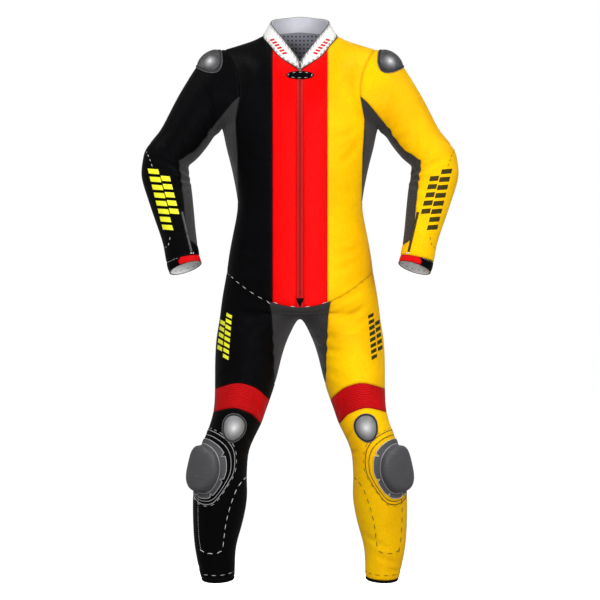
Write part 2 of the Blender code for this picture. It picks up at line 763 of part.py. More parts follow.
# ---------------------------------------------------------------- pieces laid on the form
class Ground:
    """The form as something to lay a piece on, seen along one direction."""

    def __init__(self, form, at, facing, up, nearby=NEARBY):
        self.tree = BVHTree.FromPolygons(form.points, form.faces)
        self.nearby = nearby
        self.out = Vector(facing).normalized()
        self.up = (Vector(up) - self.out * Vector(up).dot(self.out)).normalized()
        self.across = self.up.cross(self.out)
        self.middle = Vector(at)

    def line(self, across, up):
        """Where the line of sight for this offset starts, above the form, and where it looks."""
        return self.middle + self.across * across + self.up * up + self.out * HIGH, -self.out

    def place(self, across, up, height):
        """The point at a height over the highest of the form near this offset."""
        start, way = self.line(across, up)
        drops = []
        for k in range(9):
            reach = self.nearby if k else 0
            aside = (across + reach * math.cos(k * math.tau / 8), up + reach * math.sin(k * math.tau / 8))
            hit = self.tree.ray_cast(*self.line(*aside), 3 * HIGH)
            if hit[0] is not None:
                drops.append(hit[3])
        return start + way * (min(drops) - height)


class Wrap(Ground):
    """The form round an upright axis, for a piece that wraps a leg: across is measured round it."""

    def __init__(self, form, axis, facing, radius, nearby):
        self.tree = BVHTree.FromPolygons(form.points, form.faces)
        self.nearby = nearby
        self.axis, self.facing, self.radius = Vector(axis), Vector(facing).normalized(), radius

    def line(self, across, up):
        out = Matrix.Rotation(across / self.radius, 3, "Z") @ self.facing
        return self.axis + Vector((0, 0, up)) + out * (self.radius + HIGH), -out


def disc(ground, name, colour, size, low, rise, steps=(0.5, 1.0), sides=16, hole=0.0):
    """An oval piece: its foot follows the form at height low, and rise(r) is its thickness there."""
    mesh = bmesh.new()
    half_across, half_up = size
    layers = []
    for layer in (0, 1):
        rings = []
        for r in ([hole] if hole else []) + list(steps):
            around = []
            for k in range(sides):
                angle = math.tau * k / sides
                height = low + (rise(r) if layer else 0)
                place = ground.place(half_across * r * math.cos(angle), half_up * r * math.sin(angle), height)
                around.append(mesh.verts.new(place))
            rings.append(around)
        layers.append(rings)
        if not hole:
            tip = mesh.verts.new(ground.place(0, 0, low + (rise(0) if layer else 0)))
            for k in range(sides):
                mesh.faces.new([tip, rings[0][k], rings[0][(k + 1) % sides]])
        for near, far in zip(rings, rings[1:]):
            for k in range(sides):
                beyond = (k + 1) % sides
                mesh.faces.new([near[k], far[k], far[beyond], near[beyond]])
    for edge in ([0] if hole else []) + [-1]:
        low_ring, high_ring = layers[0][edge], layers[1][edge]
        for k in range(sides):
            beyond = (k + 1) % sides
            mesh.faces.new([low_ring[k], low_ring[beyond], high_ring[beyond], high_ring[k]])
    return finish(name, mesh, colour)


def strip(ground, name, colour, spine, half, low, thick):
    """A narrow piece along a line of (across, up) offsets."""
    mesh = bmesh.new()
    rows = []
    for k, (across, up) in enumerate(spine):
        before, after = spine[max(k - 1, 0)], spine[min(k + 1, len(spine) - 1)]
        along = Vector((after[0] - before[0], after[1] - before[1])).normalized()
        row = []
        for side, height in ((-1, low), (1, low), (1, low + thick), (-1, low + thick)):
            width = half[k] if isinstance(half, (list, tuple)) else half
            spot = Vector((across, up)) + Vector((-along.y, along.x)) * side * width
            row.append(mesh.verts.new(ground.place(spot.x, spot.y, height)))
        rows.append(row)
    for near, far in zip(rows, rows[1:]):
        for k in range(4):
            beyond = (k + 1) % 4
            mesh.faces.new([near[k], near[beyond], far[beyond], far[k]])
    mesh.faces.new(list(reversed(rows[0])))
    mesh.faces.new(rows[-1])
    return finish(name, mesh, colour)


def mirrored(place, side):
    return (side * place[0], *place[1:])


def add_caps(form, side, letter):
    for name, cap, metal in (("shoulder", SHOULDER_CAP, "gunmetal"), ("knee", KNEE_CAP, "silver")):
        at, facing, up = (mirrored(cap[key], side) for key in ("at", "facing", "up"))
        ground = Ground(form, at, facing, up, cap["nearby"])
        rim = cap["rim"]
        hole = 1 - CAP_STEP / min(rim)
        dome = tuple(half * hole - 2 * LAID_GAP for half in rim)
        disc(ground, f"{name}_rim_{letter}", "gunmetal", rim, CLEAR, lambda r: CAP_RIM_THICK,
             steps=(1.0,), hole=hole)
        disc(ground, f"{name}_cap_{letter}", metal, dome, CAP_CLEAR, lambda r: CAP_EDGE + CAP_DOME * (1 - r * r),
             steps=(0.34, 0.67, 1.0))


def add_slider(form, side, letter):
    axis, facing = mirrored(SLIDER["axis"], side), mirrored(SLIDER["facing"], side)
    ground = Wrap(form, axis, facing, SLIDER["radius"], SLIDER["nearby"])
    rings, size = SLIDER["rings"], SLIDER["size"]
    disc(ground, f"slider_patch_{letter}", "black leather" if side < 0 else "yellow leather", size, CLEAR,
         lambda r: PATCH_THICK, steps=rings)
    base_at = CLEAR + PATCH_THICK + LAID_GAP
    disc(ground, f"slider_base_{letter}", "hook plastic", size, base_at, lambda r: BASE_THICK, steps=rings[:3])
    puck_at = base_at + BASE_THICK + LAID_GAP
    fall = PUCK_ROUNDING / rings[1] ** 4
    disc(ground, f"slider_puck_{letter}", "puck plastic", size, puck_at, lambda r: PUCK_THICK - fall * r**4,
         steps=rings[:2])


def add_laid(form):
    front = Ground(form, (0, FRONT_PLANE, FLAP["level"]), (0, -1, 0), (0, 0, 1))
    disc(front, "zip_flap", "black leather", FLAP["size"], CLEAR, lambda r: FLAP["thick"])
    tab = Ground(form, (0, FRONT_PLANE, TAB["top"]), (0, -1, 0), (0, 0, 1))
    spine = [(0, 0), (0, (TAB["foot"] - TAB["top"]) / 2), (0, TAB["foot"] - TAB["top"])]
    strip(tab, "zip_tab", "black leather", spine, [TAB["half"], TAB["half"] / 2, 1.0], CLEAR, TAB["thick"])
    for side, letter in form.sides():
        (top_x, top_z), (foot_x, foot_z) = SLEEVE_ZIP["top"], SLEEVE_ZIP["foot"]
        ground = Ground(form, (side * top_x, FRONT_PLANE, top_z), (0, -1, 0), (0, 0, 1))
        steps = 6
        spine = [
            (ground.across.x * side * (blend(top_x, foot_x, k / steps) - top_x), blend(0, foot_z - top_z, k / steps))
            for k in range(steps + 1)
        ]
        strip(ground, f"sleeve_zip_{letter}", "zip tape", spine, SLEEVE_ZIP["half"], CLEAR, SLEEVE_ZIP["thick"])
        add_caps(form, side, letter)
        add_slider(form, side, letter)


# ---------------------------------------------------------------- the whole suit
def panel_colour(panel):
    """Each half of the suit has its own colour, apart from the panels named here."""
    fixed = {
        "collar": "white leather", "zip": "zip tape", "crotch": "stretch cloth", "back_centre": "red leather",
        "front_centre": "red leather", "underarm": "stretch cloth", "knee_band": "ribbed leather",
        "cuff_inner": "red leather", "cuff_outer": "black leather", "hem": "black leather",
    }
    for start, colour in fixed.items():
        if panel.startswith(start):
            return colour
    return "black leather" if panel.endswith("_R") else "yellow leather"


def lining_faces(form, panels):
    """The linings that show: the collar's facing, the upper back's, and each cuff's."""
    upper = panels["back_centre"] + panels["back_side_R"] + panels["back_side_L"]
    back = [face for face in upper if all(form.points[k].z > LINING_FOOT for k in face)]
    return {
        "collar_facing": (panels["collar"], "grey facing"),
        "back_lining": (back, "mesh lining"),
        "cuff_lining_R": (panels["cuff_inner_R"] + panels["cuff_outer_R"], "grey facing"),
        "cuff_lining_L": (panels["cuff_inner_L"] + panels["cuff_outer_L"], "grey facing"),
    }


def main():
    for made in list(bpy.data.objects):
        bpy.data.objects.remove(made, do_unlink=True)
    form = make_form()
    panels = cut_panels(form)
    for name in sorted(panels):
        wall(form, name, panels[name], panel_colour(name))
    for name, (faces, colour) in lining_faces(form, panels).items():
        wall(form, name, faces, colour, depth=LEATHER + LINING_GAP, thickness=LINING)
    add_laid(form)


main()
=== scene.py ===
# %% [markdown]
# # A leather race suit for a motorcycle rider
# The real suit is about fifty pieces of cowhide, stretch cloth and mesh, sewn edge to edge into a
# hollow body that is already bent at the elbows and knees. Hard caps sit on the shoulders and the
# knees, and each lower leg carries a plastic slider on a patch of hook tape.
#
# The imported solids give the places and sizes. They are faceted and plain, so every one of them is
# replaced here by a finished piece. The plan is the tailor's own, in reverse: build the whole
# smooth body first, press the creases into it, then cut it along the seams into thin panels with
# rolled edges, and last lay the caps, sliders, zips and stitches on it.

# %% Load the frame and keep its box
import math

import bmesh
import bpy
import numpy as np
from mathutils import Matrix, Vector
from mathutils.bvhtree import BVHTree
from mathutils.kdtree import KDTree


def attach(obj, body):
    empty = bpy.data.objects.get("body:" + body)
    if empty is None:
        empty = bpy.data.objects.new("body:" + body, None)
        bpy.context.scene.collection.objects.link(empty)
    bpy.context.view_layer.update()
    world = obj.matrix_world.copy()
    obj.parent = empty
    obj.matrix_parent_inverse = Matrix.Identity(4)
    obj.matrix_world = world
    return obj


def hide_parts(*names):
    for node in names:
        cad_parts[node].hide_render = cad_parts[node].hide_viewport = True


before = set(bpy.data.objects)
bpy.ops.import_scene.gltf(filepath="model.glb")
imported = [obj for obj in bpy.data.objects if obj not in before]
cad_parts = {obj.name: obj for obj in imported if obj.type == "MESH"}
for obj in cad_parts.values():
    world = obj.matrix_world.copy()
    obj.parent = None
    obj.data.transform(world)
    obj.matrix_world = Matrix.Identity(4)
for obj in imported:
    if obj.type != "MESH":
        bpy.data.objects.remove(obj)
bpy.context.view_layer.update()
MM = 0.001  # tables are in millimetres, meshes in metres
SIDES = ((-1, "R"), (1, "L"))  # the wearer's right is -X, the left +X, and the front faces -Y
QUARTERS = [(face, side, letter) for face in ("front", "back") for side, letter in SIDES]

# %% [markdown]
# ## The body's tables
# A garment is measured in rings: round the trunk, round each sleeve, round each leg. Each table has
# one row for a ring and a few named columns, which is how a pattern maker writes it down. The
# outlines of the sleeves and legs are curves of height against distance from the middle.

# %% Trunk, yoke, neck
TRUNK_ROWS = (
    # side_z, front_z, back_z, half_width, front, back
    (-238, -235, -235, 205.0, 131, 122),
    (-280, -280, -280, 195.0, 131, 118),
    (-325, -328, -325, 184.0, 129, 111),
    (-372, -378, -370, 173.5, 126, 103),
    (-419, -430, -415, 165.5, 122, 98),
    (-455, -474, -450, 165.5, 120, 98),
    (-495, -528, -487, 172.5, 119, 104),
    (-535, -587, -522, 180.5, 119, 112),
    (-575, -648, -556, 187.5, 118, 121),
    (-615, -709, -590, 193.0, 115, 129),
    (-655, -717, -640, 200.0, 111, 137),
    (-695, -724, -690, 206.5, 105, 139),
    (-735, -730, -735, 211.5, 99, 131),
)
WAIST_ROW = 9
TUCKS = {10: (6, 2), 11: (14, 6), 12: (26, 12)}  # row: how far its front and back centre are drawn in
TUCK_WIDTH = 95
CROTCH_LINE = ((0, -42, -737), (0, 6, -739), (0, 64, -738))
CENTRE_PANEL = 72.5
SQUARENESS = 2.4  # exponent of the trunk's section, where 2 is an ellipse
CHEST_LEVEL, BLADE_LEVEL, BLADE_SWELL = -200, -180, 4
SHOULDER_RIDGE = (
    (0, -45), (34, -38), (60, -21), (83, -6), (97, 12), (119, 0), (146, -10), (179, -18), (205, -26),
)
BACK_RIDGE = ((0, 58), (52, 41), (97, 12), (119, 0), (146, -10), (179, -18), (205, -26))
ARMHOLE = (
    # x_front, x_back, front, back, z
    (187, 192, 55, 52, -226),
    (171, 181, 80, 72, -190),
    (160, 174, 89, 82, -146),
    (165, 177, 76, 72, -95),
    (182, 188, 44, 44, -50),
)
ARMPIT, SHOULDER_POINT, SHOULDER_MIDDLE = (205, 0, -238), (199, 0, -26), (146, 0, -10)
FRONT_YOKE = {
    # (row, column): (x, z)
    (1, 0): (0, -185), (1, 1): (72.5, -185), (1, 2): (112, -186), (1, 3): (145, -188),
    (2, 0): (0, -133), (2, 1): (70, -133), (2, 2): (106, -138), (2, 3): (136, -142),
    (3, 2): (98, -73), (3, 3): (133, -85), (4, 3): (138, -42),
}
YOKE_ROWS, YOKE_COLUMNS = 5, 4
NECK_FACES = {3: 1, 4: 2}  # row: how many faces of the front the neck takes up
NECK = (
    # base x, y, z, top x, y, z, from the centre front round to the nape
    (0, -80, -81, 0, -86, -66),
    (34, -76, -60, 12, -82, -41),
    (60, -64, -41, 28, -72, -20),
    (83, -38, -12, 54, -46, 14),
    (97, 0, 12, 76, -5, 48),
    (52, 52, 18, 42, 42, 58),
    (0, 66, 22, 0, 55, 62.5),
)
NECK_SIDE, NECK_BACK, NECK_NAPE = 4, 5, 6
COLLAR_LEVELS = 2
print("trunk rings", len(TRUNK_ROWS), "neck places", len(NECK))

# %% Sleeves and legs
SLEEVE_OUTER = (
    (-26, 199), (-31, 222), (-41, 243), (-58, 262), (-80, 278), (-108, 296), (-174, 334), (-212, 353),
    (-258, 381), (-272, 395), (-309, 413), (-358, 418), (-382, 413), (-461, 387), (-547, 359), (-589, 352),
    (-617, 344),
)
SLEEVE_INNER = (
    (-238, 205), (-251, 224), (-279, 244), (-309, 268), (-323, 283), (-337, 296), (-370, 292), (-407, 286),
    (-467, 280), (-547, 271), (-574, 265), (-591, 260),
)
SLEEVE_ROWS = (
    # outer_z, inner_z, mid_y, half_depth, lean in degrees
    (-30, -243, 0, 83, 0),
    (-44, -254, -1, 79, 0),
    (-72, -272, -3, 75, 0),
    (-110, -291, -6, 72, 0),
    (-155, -309, -9, 69, 0),
    (-203, -323, -13, 66, 2),
    (-248, -333, -17, 64, 4),
    (-285, -343, -21, 63, 6),
    (-322, -354, -25, 62, 8),
    (-358, -368, -31, 61, 11),
    (-394, -384, -39, 60, 13),
    (-430, -404, -50, 59, 16),
    (-468, -436, -64, 57, 18),
    (-508, -476, -78, 53, 18),
    (-549, -522, -92, 49, 14),
    (-589, -571, -106, 45, 8),
    (-617, -591, -114, 43, 17),
)
SLEEVE_COLUMNS = 12
LEG_OUTER = (
    (-695, 206.5), (-735, 211.5), (-798, 221), (-856, 224), (-923, 224), (-984, 228), (-1026, 240),
    (-1050, 249), (-1100, 262), (-1150, 273), (-1217, 283), (-1283, 282), (-1338, 278), (-1390, 269),
    (-1431, 260),
)
LEG_INNER = (
    (-739, 0), (-778, 28), (-839, 49), (-917, 69), (-954, 82), (-1033, 111), (-1060, 126), (-1090, 136),
    (-1121, 140), (-1160, 141.5), (-1186, 140), (-1238, 145), (-1283, 154), (-1322, 167), (-1364, 172),
    (-1427, 174),
)
LEG_ROWS = (
    # outer_z, inner_z, mid_y, half_depth, lean in degrees
    (-763, -769, 12, 113, 0),
    (-792, -808, 5, 107, 3),
    (-825, -851, -5, 101, 6),
    (-862, -897, -18, 95, 9),
    (-902, -940, -33, 88, 11),
    (-942, -980, -47, 82, 10),
    (-981, -1016, -60, 77, 6),
    (-1020, -1050, -69, 73, 0),
    (-1060, -1086, -72, 71, -6),
    (-1102, -1122, -66, 70, -10),
    (-1146, -1162, -53, 70, -12),
    (-1192, -1204, -39, 69, -13),
    (-1240, -1248, -26, 66, -13),
    (-1290, -1295, -14, 60, -13),
    (-1342, -1344, -5, 53, -13),
    (-1394, -1392, 2, 47.5, -13),
    (-1423, -1419, 5, 45.5, -13),
    (-1431, -1427, 6, 45, -13),
)
LEG_ANGLES_TOP = (0, 27, 50, 75, 108, 145, 165, 180)
LEG_ANGLES = (0, 26, 51, 77, 103, 129, 154, 180)
LEG_SETTLES = 5
print("sleeve rings", len(SLEEVE_ROWS), "leg rings", len(LEG_ROWS))

# %% [markdown]
# ## Reading a table as a curve
# A maker bends a thin strip of wood through the points. A monotone cubic does the same in numbers:
# it passes through every row and never swings out beyond two neighbours, so no bulge appears that
# nobody drew. It is sampled once, so that it can be read for a hundred thousand points together.

# %% Curves from tables
CURVE_SAMPLES = 600


def curve(table):
    """A smooth function of one number through (at, value) rows, for one number or an array."""
    at, value = (np.array(column, float) for column in zip(*sorted(row[:2] for row in table)))
    slope = np.diff(value) / np.diff(at)
    turn = slope[:-1] * slope[1:]
    total = slope[:-1] + slope[1:]
    middle = np.where(turn > 0, 2 * turn / np.where(total == 0, 1, total), 0)
    tangent = np.concatenate(([slope[0]], middle, [slope[-1]]))
    x = np.linspace(at[0], at[-1], CURVE_SAMPLES)
    k = np.clip(np.searchsorted(at, x, side="right") - 1, 0, len(at) - 2)
    span = at[k + 1] - at[k]
    t = (x - at[k]) / span
    rise = value[k] * (2 * t**3 - 3 * t**2 + 1) + value[k + 1] * (3 * t**2 - 2 * t**3)
    y = rise + span * (tangent[k] * (t**3 - 2 * t**2 + t) + tangent[k + 1] * (t**3 - t**2))
    return lambda place: np.interp(place, x, y)


def blend(a, b, share):
    return a + (b - a) * share


def section(depth, width_share):
    """How far the trunk's section stands off its side-to-side line, at a share of its half width."""
    return depth * (1 - min(abs(width_share), 1) ** SQUARENESS) ** (1 / SQUARENESS)


print("half width of the hip at the crotch", round(float(curve(LEG_OUTER)(-735)), 1))

# %% [markdown]
# ## The cage
# The whole body is one cage of about 1,250 four-sided faces, with its points on the rings of the
# tables. One cage, and not one per panel, is what makes neighbours meet: a seam is later a line
# drawn on the same surface that both sides are cut from.

# %% Trunk and yoke of the cage
class Cage:
    """Points with names, and faces that each know which part of the suit they are."""

    def __init__(self):
        self.points, self.names, self.faces, self.parts = [], {}, [], []

    def point(self, name, place):
        if name not in self.names:
            self.names[name] = len(self.points)
            self.points.append(tuple(place))
        return self.names[name]

    def face(self, part, corners):
        self.faces.append(tuple(corners))
        self.parts.append(part)

    def patch(self, part, name, row, face, column, side):
        """The face between two rows and two columns, where name(...) gives each corner's name."""
        ends = ((row, column), (row, column + 1), (row + 1, column + 1), (row + 1, column))
        self.face(part, [self.names[name(r, face, c, side)] for r, c in ends])


TRUNK_COLUMNS = 5  # from the middle to the side


def columns_of(half_width):
    """Each column's share of the half width. The first is the centre panel's edge."""
    first = math.asin((CENTRE_PANEL / half_width) ** (SQUARENESS / 2))
    angles = [blend(first, math.pi / 2, k / (TRUNK_COLUMNS - 1)) for k in range(TRUNK_COLUMNS)]
    return [0.0] + [math.sin(angle) ** (2 / SQUARENESS) for angle in angles]


def armhole_place(row, face, side):
    x_front, x_back, front, back, z = ARMHOLE[row]
    return (side * x_front, -front, z) if face == "front" else (side * x_back, back, z)


def trunk_place(row, face, column, side):
    if row == 0 and column == TRUNK_COLUMNS:
        return (side * ARMPIT[0], *ARMPIT[1:])
    if row == 0 and column == TRUNK_COLUMNS - 1:
        return armhole_place(0, face, side)
    side_z, front_z, back_z, half_width, front, back = TRUNK_ROWS[row]
    share = columns_of(half_width)[column]
    centre_z, depth = (front_z, -front) if face == "front" else (back_z, back)
    z = side_z + (centre_z - side_z) * (1 - share**2)
    x, y = half_width * share, section(depth, share)
    tuck = TUCKS.get(row, (0, 0))[face == "back"] * max(0, 1 - (x / TUCK_WIDTH) ** 2) ** 2
    return (side * x, y - math.copysign(tuck, depth), z)


def trunk_name(row, face, column, side):
    place = "side" if column == TRUNK_COLUMNS else face
    return ("trunk", row, place, column, 0 if column == 0 else side)


def add_trunk(cage):
    for row in range(len(TRUNK_ROWS)):
        for face, side, _ in QUARTERS:
            for column in range(TRUNK_COLUMNS + 1):
                cage.point(trunk_name(row, face, column, side), trunk_place(row, face, column, side))
    for row in range(len(TRUNK_ROWS) - 1):
        part = "body" if row < WAIST_ROW else "hip"
        for face, side, letter in QUARTERS:
            for column in range(TRUNK_COLUMNS):
                cage.patch(f"{part} {face} {letter}", trunk_name, row, face, column, side)


def yoke_name(row, face, column, side):
    """The shoulder line and the collar's seam belong to the front and to the back."""
    if row == 0:
        return trunk_name(0, face, column, side)
    if column == YOKE_COLUMNS:
        return ("shoulder point", side) if row == YOKE_ROWS else ("armhole", row, face, side)
    if column == YOKE_COLUMNS - 1 and row == YOKE_ROWS:
        return ("shoulder middle", side)
    front_neck = {(3, 0): 0, (3, 1): 1, (4, 1): 2, (4, 2): 3, (5, 2): NECK_SIDE}
    back_neck = {(5, 2): NECK_SIDE, (5, 1): NECK_BACK, (5, 0): NECK_NAPE}
    on_neck = front_neck if face == "front" else back_neck
    if (row, column) in on_neck:
        place = on_neck[row, column]
        return ("neck", place, 0 if place in (0, NECK_NAPE) else side)
    return ("yoke", row, face, column, 0 if column == 0 else side)


def yoke_place(row, face, column, side, ridge, back_ridge):
    if face == "front":
        x, z = FRONT_YOKE[row, column]
        reach = max(0, (z - CHEST_LEVEL) / (ridge(x) - CHEST_LEVEL))
        depth = section(TRUNK_ROWS[0][4], x / ARMPIT[0])
        return (side * x, -depth * math.sqrt(1 - min(reach, 1) ** 2), z)
    share = row / YOKE_ROWS
    highest = (NECK[NECK_NAPE], NECK[NECK_BACK], NECK[NECK_SIDE], SHOULDER_MIDDLE)[column]
    x = blend(trunk_place(0, "back", column, 1)[0], highest[0], share)
    edge = armhole_place(row, "back", 1)
    centre_z = blend(TRUNK_ROWS[0][2], NECK[NECK_NAPE][2], share)
    z = blend(centre_z, edge[2], (x / edge[0]) ** 2)
    reach = max(0, (z - BLADE_LEVEL) / (back_ridge(x) - BLADE_LEVEL))
    depth = section(TRUNK_ROWS[0][5] + BLADE_SWELL, x / ARMPIT[0])
    return (side * x, depth * math.sqrt(1 - min(reach, 1) ** 2), z)


def add_yoke(cage):
    ridge, back_ridge = curve(SHOULDER_RIDGE), curve(BACK_RIDGE)
    for side, _ in SIDES:
        cage.point(("shoulder point", side), (side * SHOULDER_POINT[0], *SHOULDER_POINT[1:]))
        cage.point(("shoulder middle", side), (side * SHOULDER_MIDDLE[0], *SHOULDER_MIDDLE[1:]))
        for place, (x, y, z, *_) in enumerate(NECK):
            cage.point(("neck", place, 0 if place in (0, NECK_NAPE) else side), (side * x, y, z))
    for face, side, letter in QUARTERS:
        for row in range(1, YOKE_ROWS + 1):
            for column in range(YOKE_COLUMNS + 1):
                name = yoke_name(row, face, column, side)
                if name[0] == "armhole":
                    cage.point(name, armhole_place(row, face, side))
                elif name[0] == "yoke" and (face == "back" or (row, column) in FRONT_YOKE):
                    cage.point(name, yoke_place(row, face, column, side, ridge, back_ridge))
        for row in range(YOKE_ROWS):
            first = NECK_FACES.get(row, 0) if face == "front" else 0
            for column in range(first, YOKE_COLUMNS):
                cage.patch(f"body {face} {letter}", yoke_name, row, face, column, side)


cage = Cage()
add_trunk(cage)
add_yoke(cage)
print("trunk and yoke:", len(cage.points), "points,", len(cage.faces), "faces")

# %% Collar, sleeves and legs of the cage
def collar_name(level, face, place, side):
    """Each half of the collar has its own points at the centre front, where it is open."""
    return (face, level, place, 0 if place == NECK_NAPE else side)


def add_collar(cage):
    for side, letter in SIDES:
        for place, row in enumerate(NECK):
            for level in range(COLLAR_LEVELS + 1):
                x, y, z = (blend(a, b, level / COLLAR_LEVELS) for a, b in zip(row[:3], row[3:]))
                cage.point(collar_name(level, "collar", place, side), (side * x, y, z))
        for place in range(len(NECK) - 1):
            for level in range(COLLAR_LEVELS):
                cage.patch(f"collar {letter}", collar_name, level, "collar", place, side)


def limb_point(table, outer, inner, row, angle):
    """A point of a sleeve or leg. Row may lie between two rings, and angle 0 is its inner side."""
    k = min(int(row), len(table) - 2)
    between = (blend(a, b, row - k) for a, b in zip(table[k], table[k + 1]))
    outer_z, inner_z, mid_y, half_depth, lean = between
    share = (1 - math.cos(math.radians(angle))) / 2
    forward, lean = half_depth * math.sin(math.radians(angle)), math.radians(lean)
    x = blend(float(inner(inner_z)), float(outer(outer_z)), share)
    return (x, mid_y - forward * math.cos(lean), blend(inner_z, outer_z, share) + forward * math.sin(lean))


def add_limb(cage, kind, loop, letter, side, table, outer, inner, angles_of, last_part):
    for row in range(len(table)):
        after = []
        for column, angle in enumerate(angles_of(row)):
            x, y, z = limb_point(table, outer, inner, row, angle)
            after.append(cage.point((kind, row, column, side), (side * x, y, z)))
        part = last_part if row == len(table) - 1 else kind
        for column in range(len(loop)):
            beyond = (column + 1) % len(loop)
            face = "front" if column < len(loop) // 2 else "back"
            corners = (loop[column], loop[beyond], after[beyond], after[column])
            cage.face(f"{part} {face} {letter}", corners)
        loop = after


def leg_angles(row):
    share = min(row / LEG_SETTLES, 1)
    half = [180 - blend(first, last, share) for first, last in zip(LEG_ANGLES_TOP, LEG_ANGLES)]
    return half + [360 - angle for angle in half[-2:0:-1]]


def sleeve_angles(row):
    return [360 * k / SLEEVE_COLUMNS for k in range(SLEEVE_COLUMNS)]


sleeve_edges = curve(SLEEVE_OUTER), curve(SLEEVE_INNER)
leg_edges = curve(LEG_OUTER), curve(LEG_INNER)
add_collar(cage)
crotch = [cage.point(("crotch", place), where) for place, where in enumerate(CROTCH_LINE)]
for side, letter in SIDES:
    armhole = [cage.names[trunk_name(0, "side", TRUNK_COLUMNS, side)]]
    for face, rows in (("front", range(YOKE_ROWS + 1)), ("back", range(YOKE_ROWS - 1, -1, -1))):
        armhole += [cage.names[yoke_name(row, face, YOKE_COLUMNS, side)] for row in rows]
    add_limb(cage, "sleeve", armhole, letter, side, SLEEVE_ROWS, *sleeve_edges, sleeve_angles, "cuff")
    last, columns = len(TRUNK_ROWS) - 1, range(TRUNK_COLUMNS + 1)
    hip = [cage.names[trunk_name(last, "front", column, side)] for column in reversed(columns)]
    hip += crotch + [cage.names[trunk_name(last, "back", column, side)] for column in columns[:-1]]
    add_limb(cage, "leg", hip, letter, side, LEG_ROWS, *leg_edges, leg_angles, "hem")
print("whole cage:", len(cage.points), "points,", len(cage.faces), "faces")

# %% [markdown]
# ## From cage to smooth skin
# A Catmull-Clark surface shrinks away from its cage, so a cage with its points on the measured
# rings would give a suit one size too small. The cage is therefore fitted: it is subdivided, the
# miss at each point is added back, and after a few rounds the smooth surface runs through the
# tables. The neck's front point keeps its corner, because the collar opens there in a V.

# %% Fit and subdivide
SMOOTH_LEVELS = 3
FIT_ROUNDS = 8


def cage_mesh(cage):
    mesh = bpy.data.meshes.new("cage")
    mesh.from_pydata(cage.points, [], cage.faces)
    edit = bmesh.new()
    edit.from_mesh(mesh)
    bmesh.ops.recalc_face_normals(edit, faces=edit.faces)
    edit.faces.ensure_lookup_table()
    if edit.faces[cage.parts.index("body front L")].normal.y > 0:
        bmesh.ops.reverse_faces(edit, faces=edit.faces)
    edit.to_mesh(mesh)
    edit.free()
    corner = mesh.attributes.new("crease_vert", "FLOAT", "POINT")
    corner.data[cage.names["neck", 0, 0]].value = 1.0
    kinds = sorted(set(cage.parts))
    part = mesh.attributes.new("part", "INT", "FACE")
    part.data.foreach_set("value", [kinds.index(name) for name in cage.parts])
    return mesh, kinds


def linked(name, data):
    """An object with this data, in the scene."""
    piece = bpy.data.objects.new(name, data)
    bpy.context.scene.collection.objects.link(piece)
    return piece


def array_of(items, field, kind=float, width=1):
    """A field of all items, with a row of this width for each."""
    values = np.empty(len(items) * width, kind)
    items.foreach_get(field, values)
    return values.reshape(-1, width) if width > 1 else values


class Skin:
    """The suit's outer surface: points, smooth normals, creases, faces, and the part of each face."""

    def __init__(self, points, normals, faces, parts):
        self.points, self.normals, self.faces, self.parts = points, normals, faces, parts
        self.rise = np.zeros(len(points))  # how far creases lift each point along its normal

    def lifted(self):
        return self.points + self.normals * self.rise[:, None]


def smooth_skin(cage):
    mesh, kinds = cage_mesh(cage)
    holder = linked("cage", mesh)
    subdivide = holder.modifiers.new("smooth", "SUBSURF")
    subdivide.levels = subdivide.render_levels = SMOOTH_LEVELS
    subdivide.boundary_smooth = "PRESERVE_CORNERS"
    wanted = np.array(cage.points)
    fitted = wanted.copy()
    for _ in range(FIT_ROUNDS):
        mesh.vertices.foreach_set("co", fitted.ravel())
        mesh.update()
        bpy.context.view_layer.update()
        smooth = holder.evaluated_get(bpy.context.evaluated_depsgraph_get()).data
        points = array_of(smooth.vertices, "co", width=3)
        miss = wanted - points[: len(wanted)]
        fitted += miss
    normals = array_of(smooth.vertex_normals, "vector", width=3)
    corners = array_of(smooth.loops, "vertex_index", int)
    faces = [tuple(face) for face in corners.reshape(-1, 4).tolist()]
    parts = [kinds[k] for k in array_of(smooth.attributes["part"].data, "value", int)]
    skin = Skin(points, normals, faces, parts)
    bpy.data.objects.remove(holder)
    print("largest miss", round(float(np.abs(miss).max()), 2), "mm")
    return skin


skin = smooth_skin(cage)
collar_points = np.unique([face for face, part in zip(skin.faces, skin.parts) if part[:6] == "collar"])
spots = skin.points[collar_points]
slit = collar_points[(np.abs(spots[:, 0]) < 0.5) & (spots[:, 1] < 0)]
skin.normals[slit, 0] = 0  # the collar's ends stay on their own sides of the middle
print("skin:", len(skin.points), "points,", len(skin.faces), "faces")
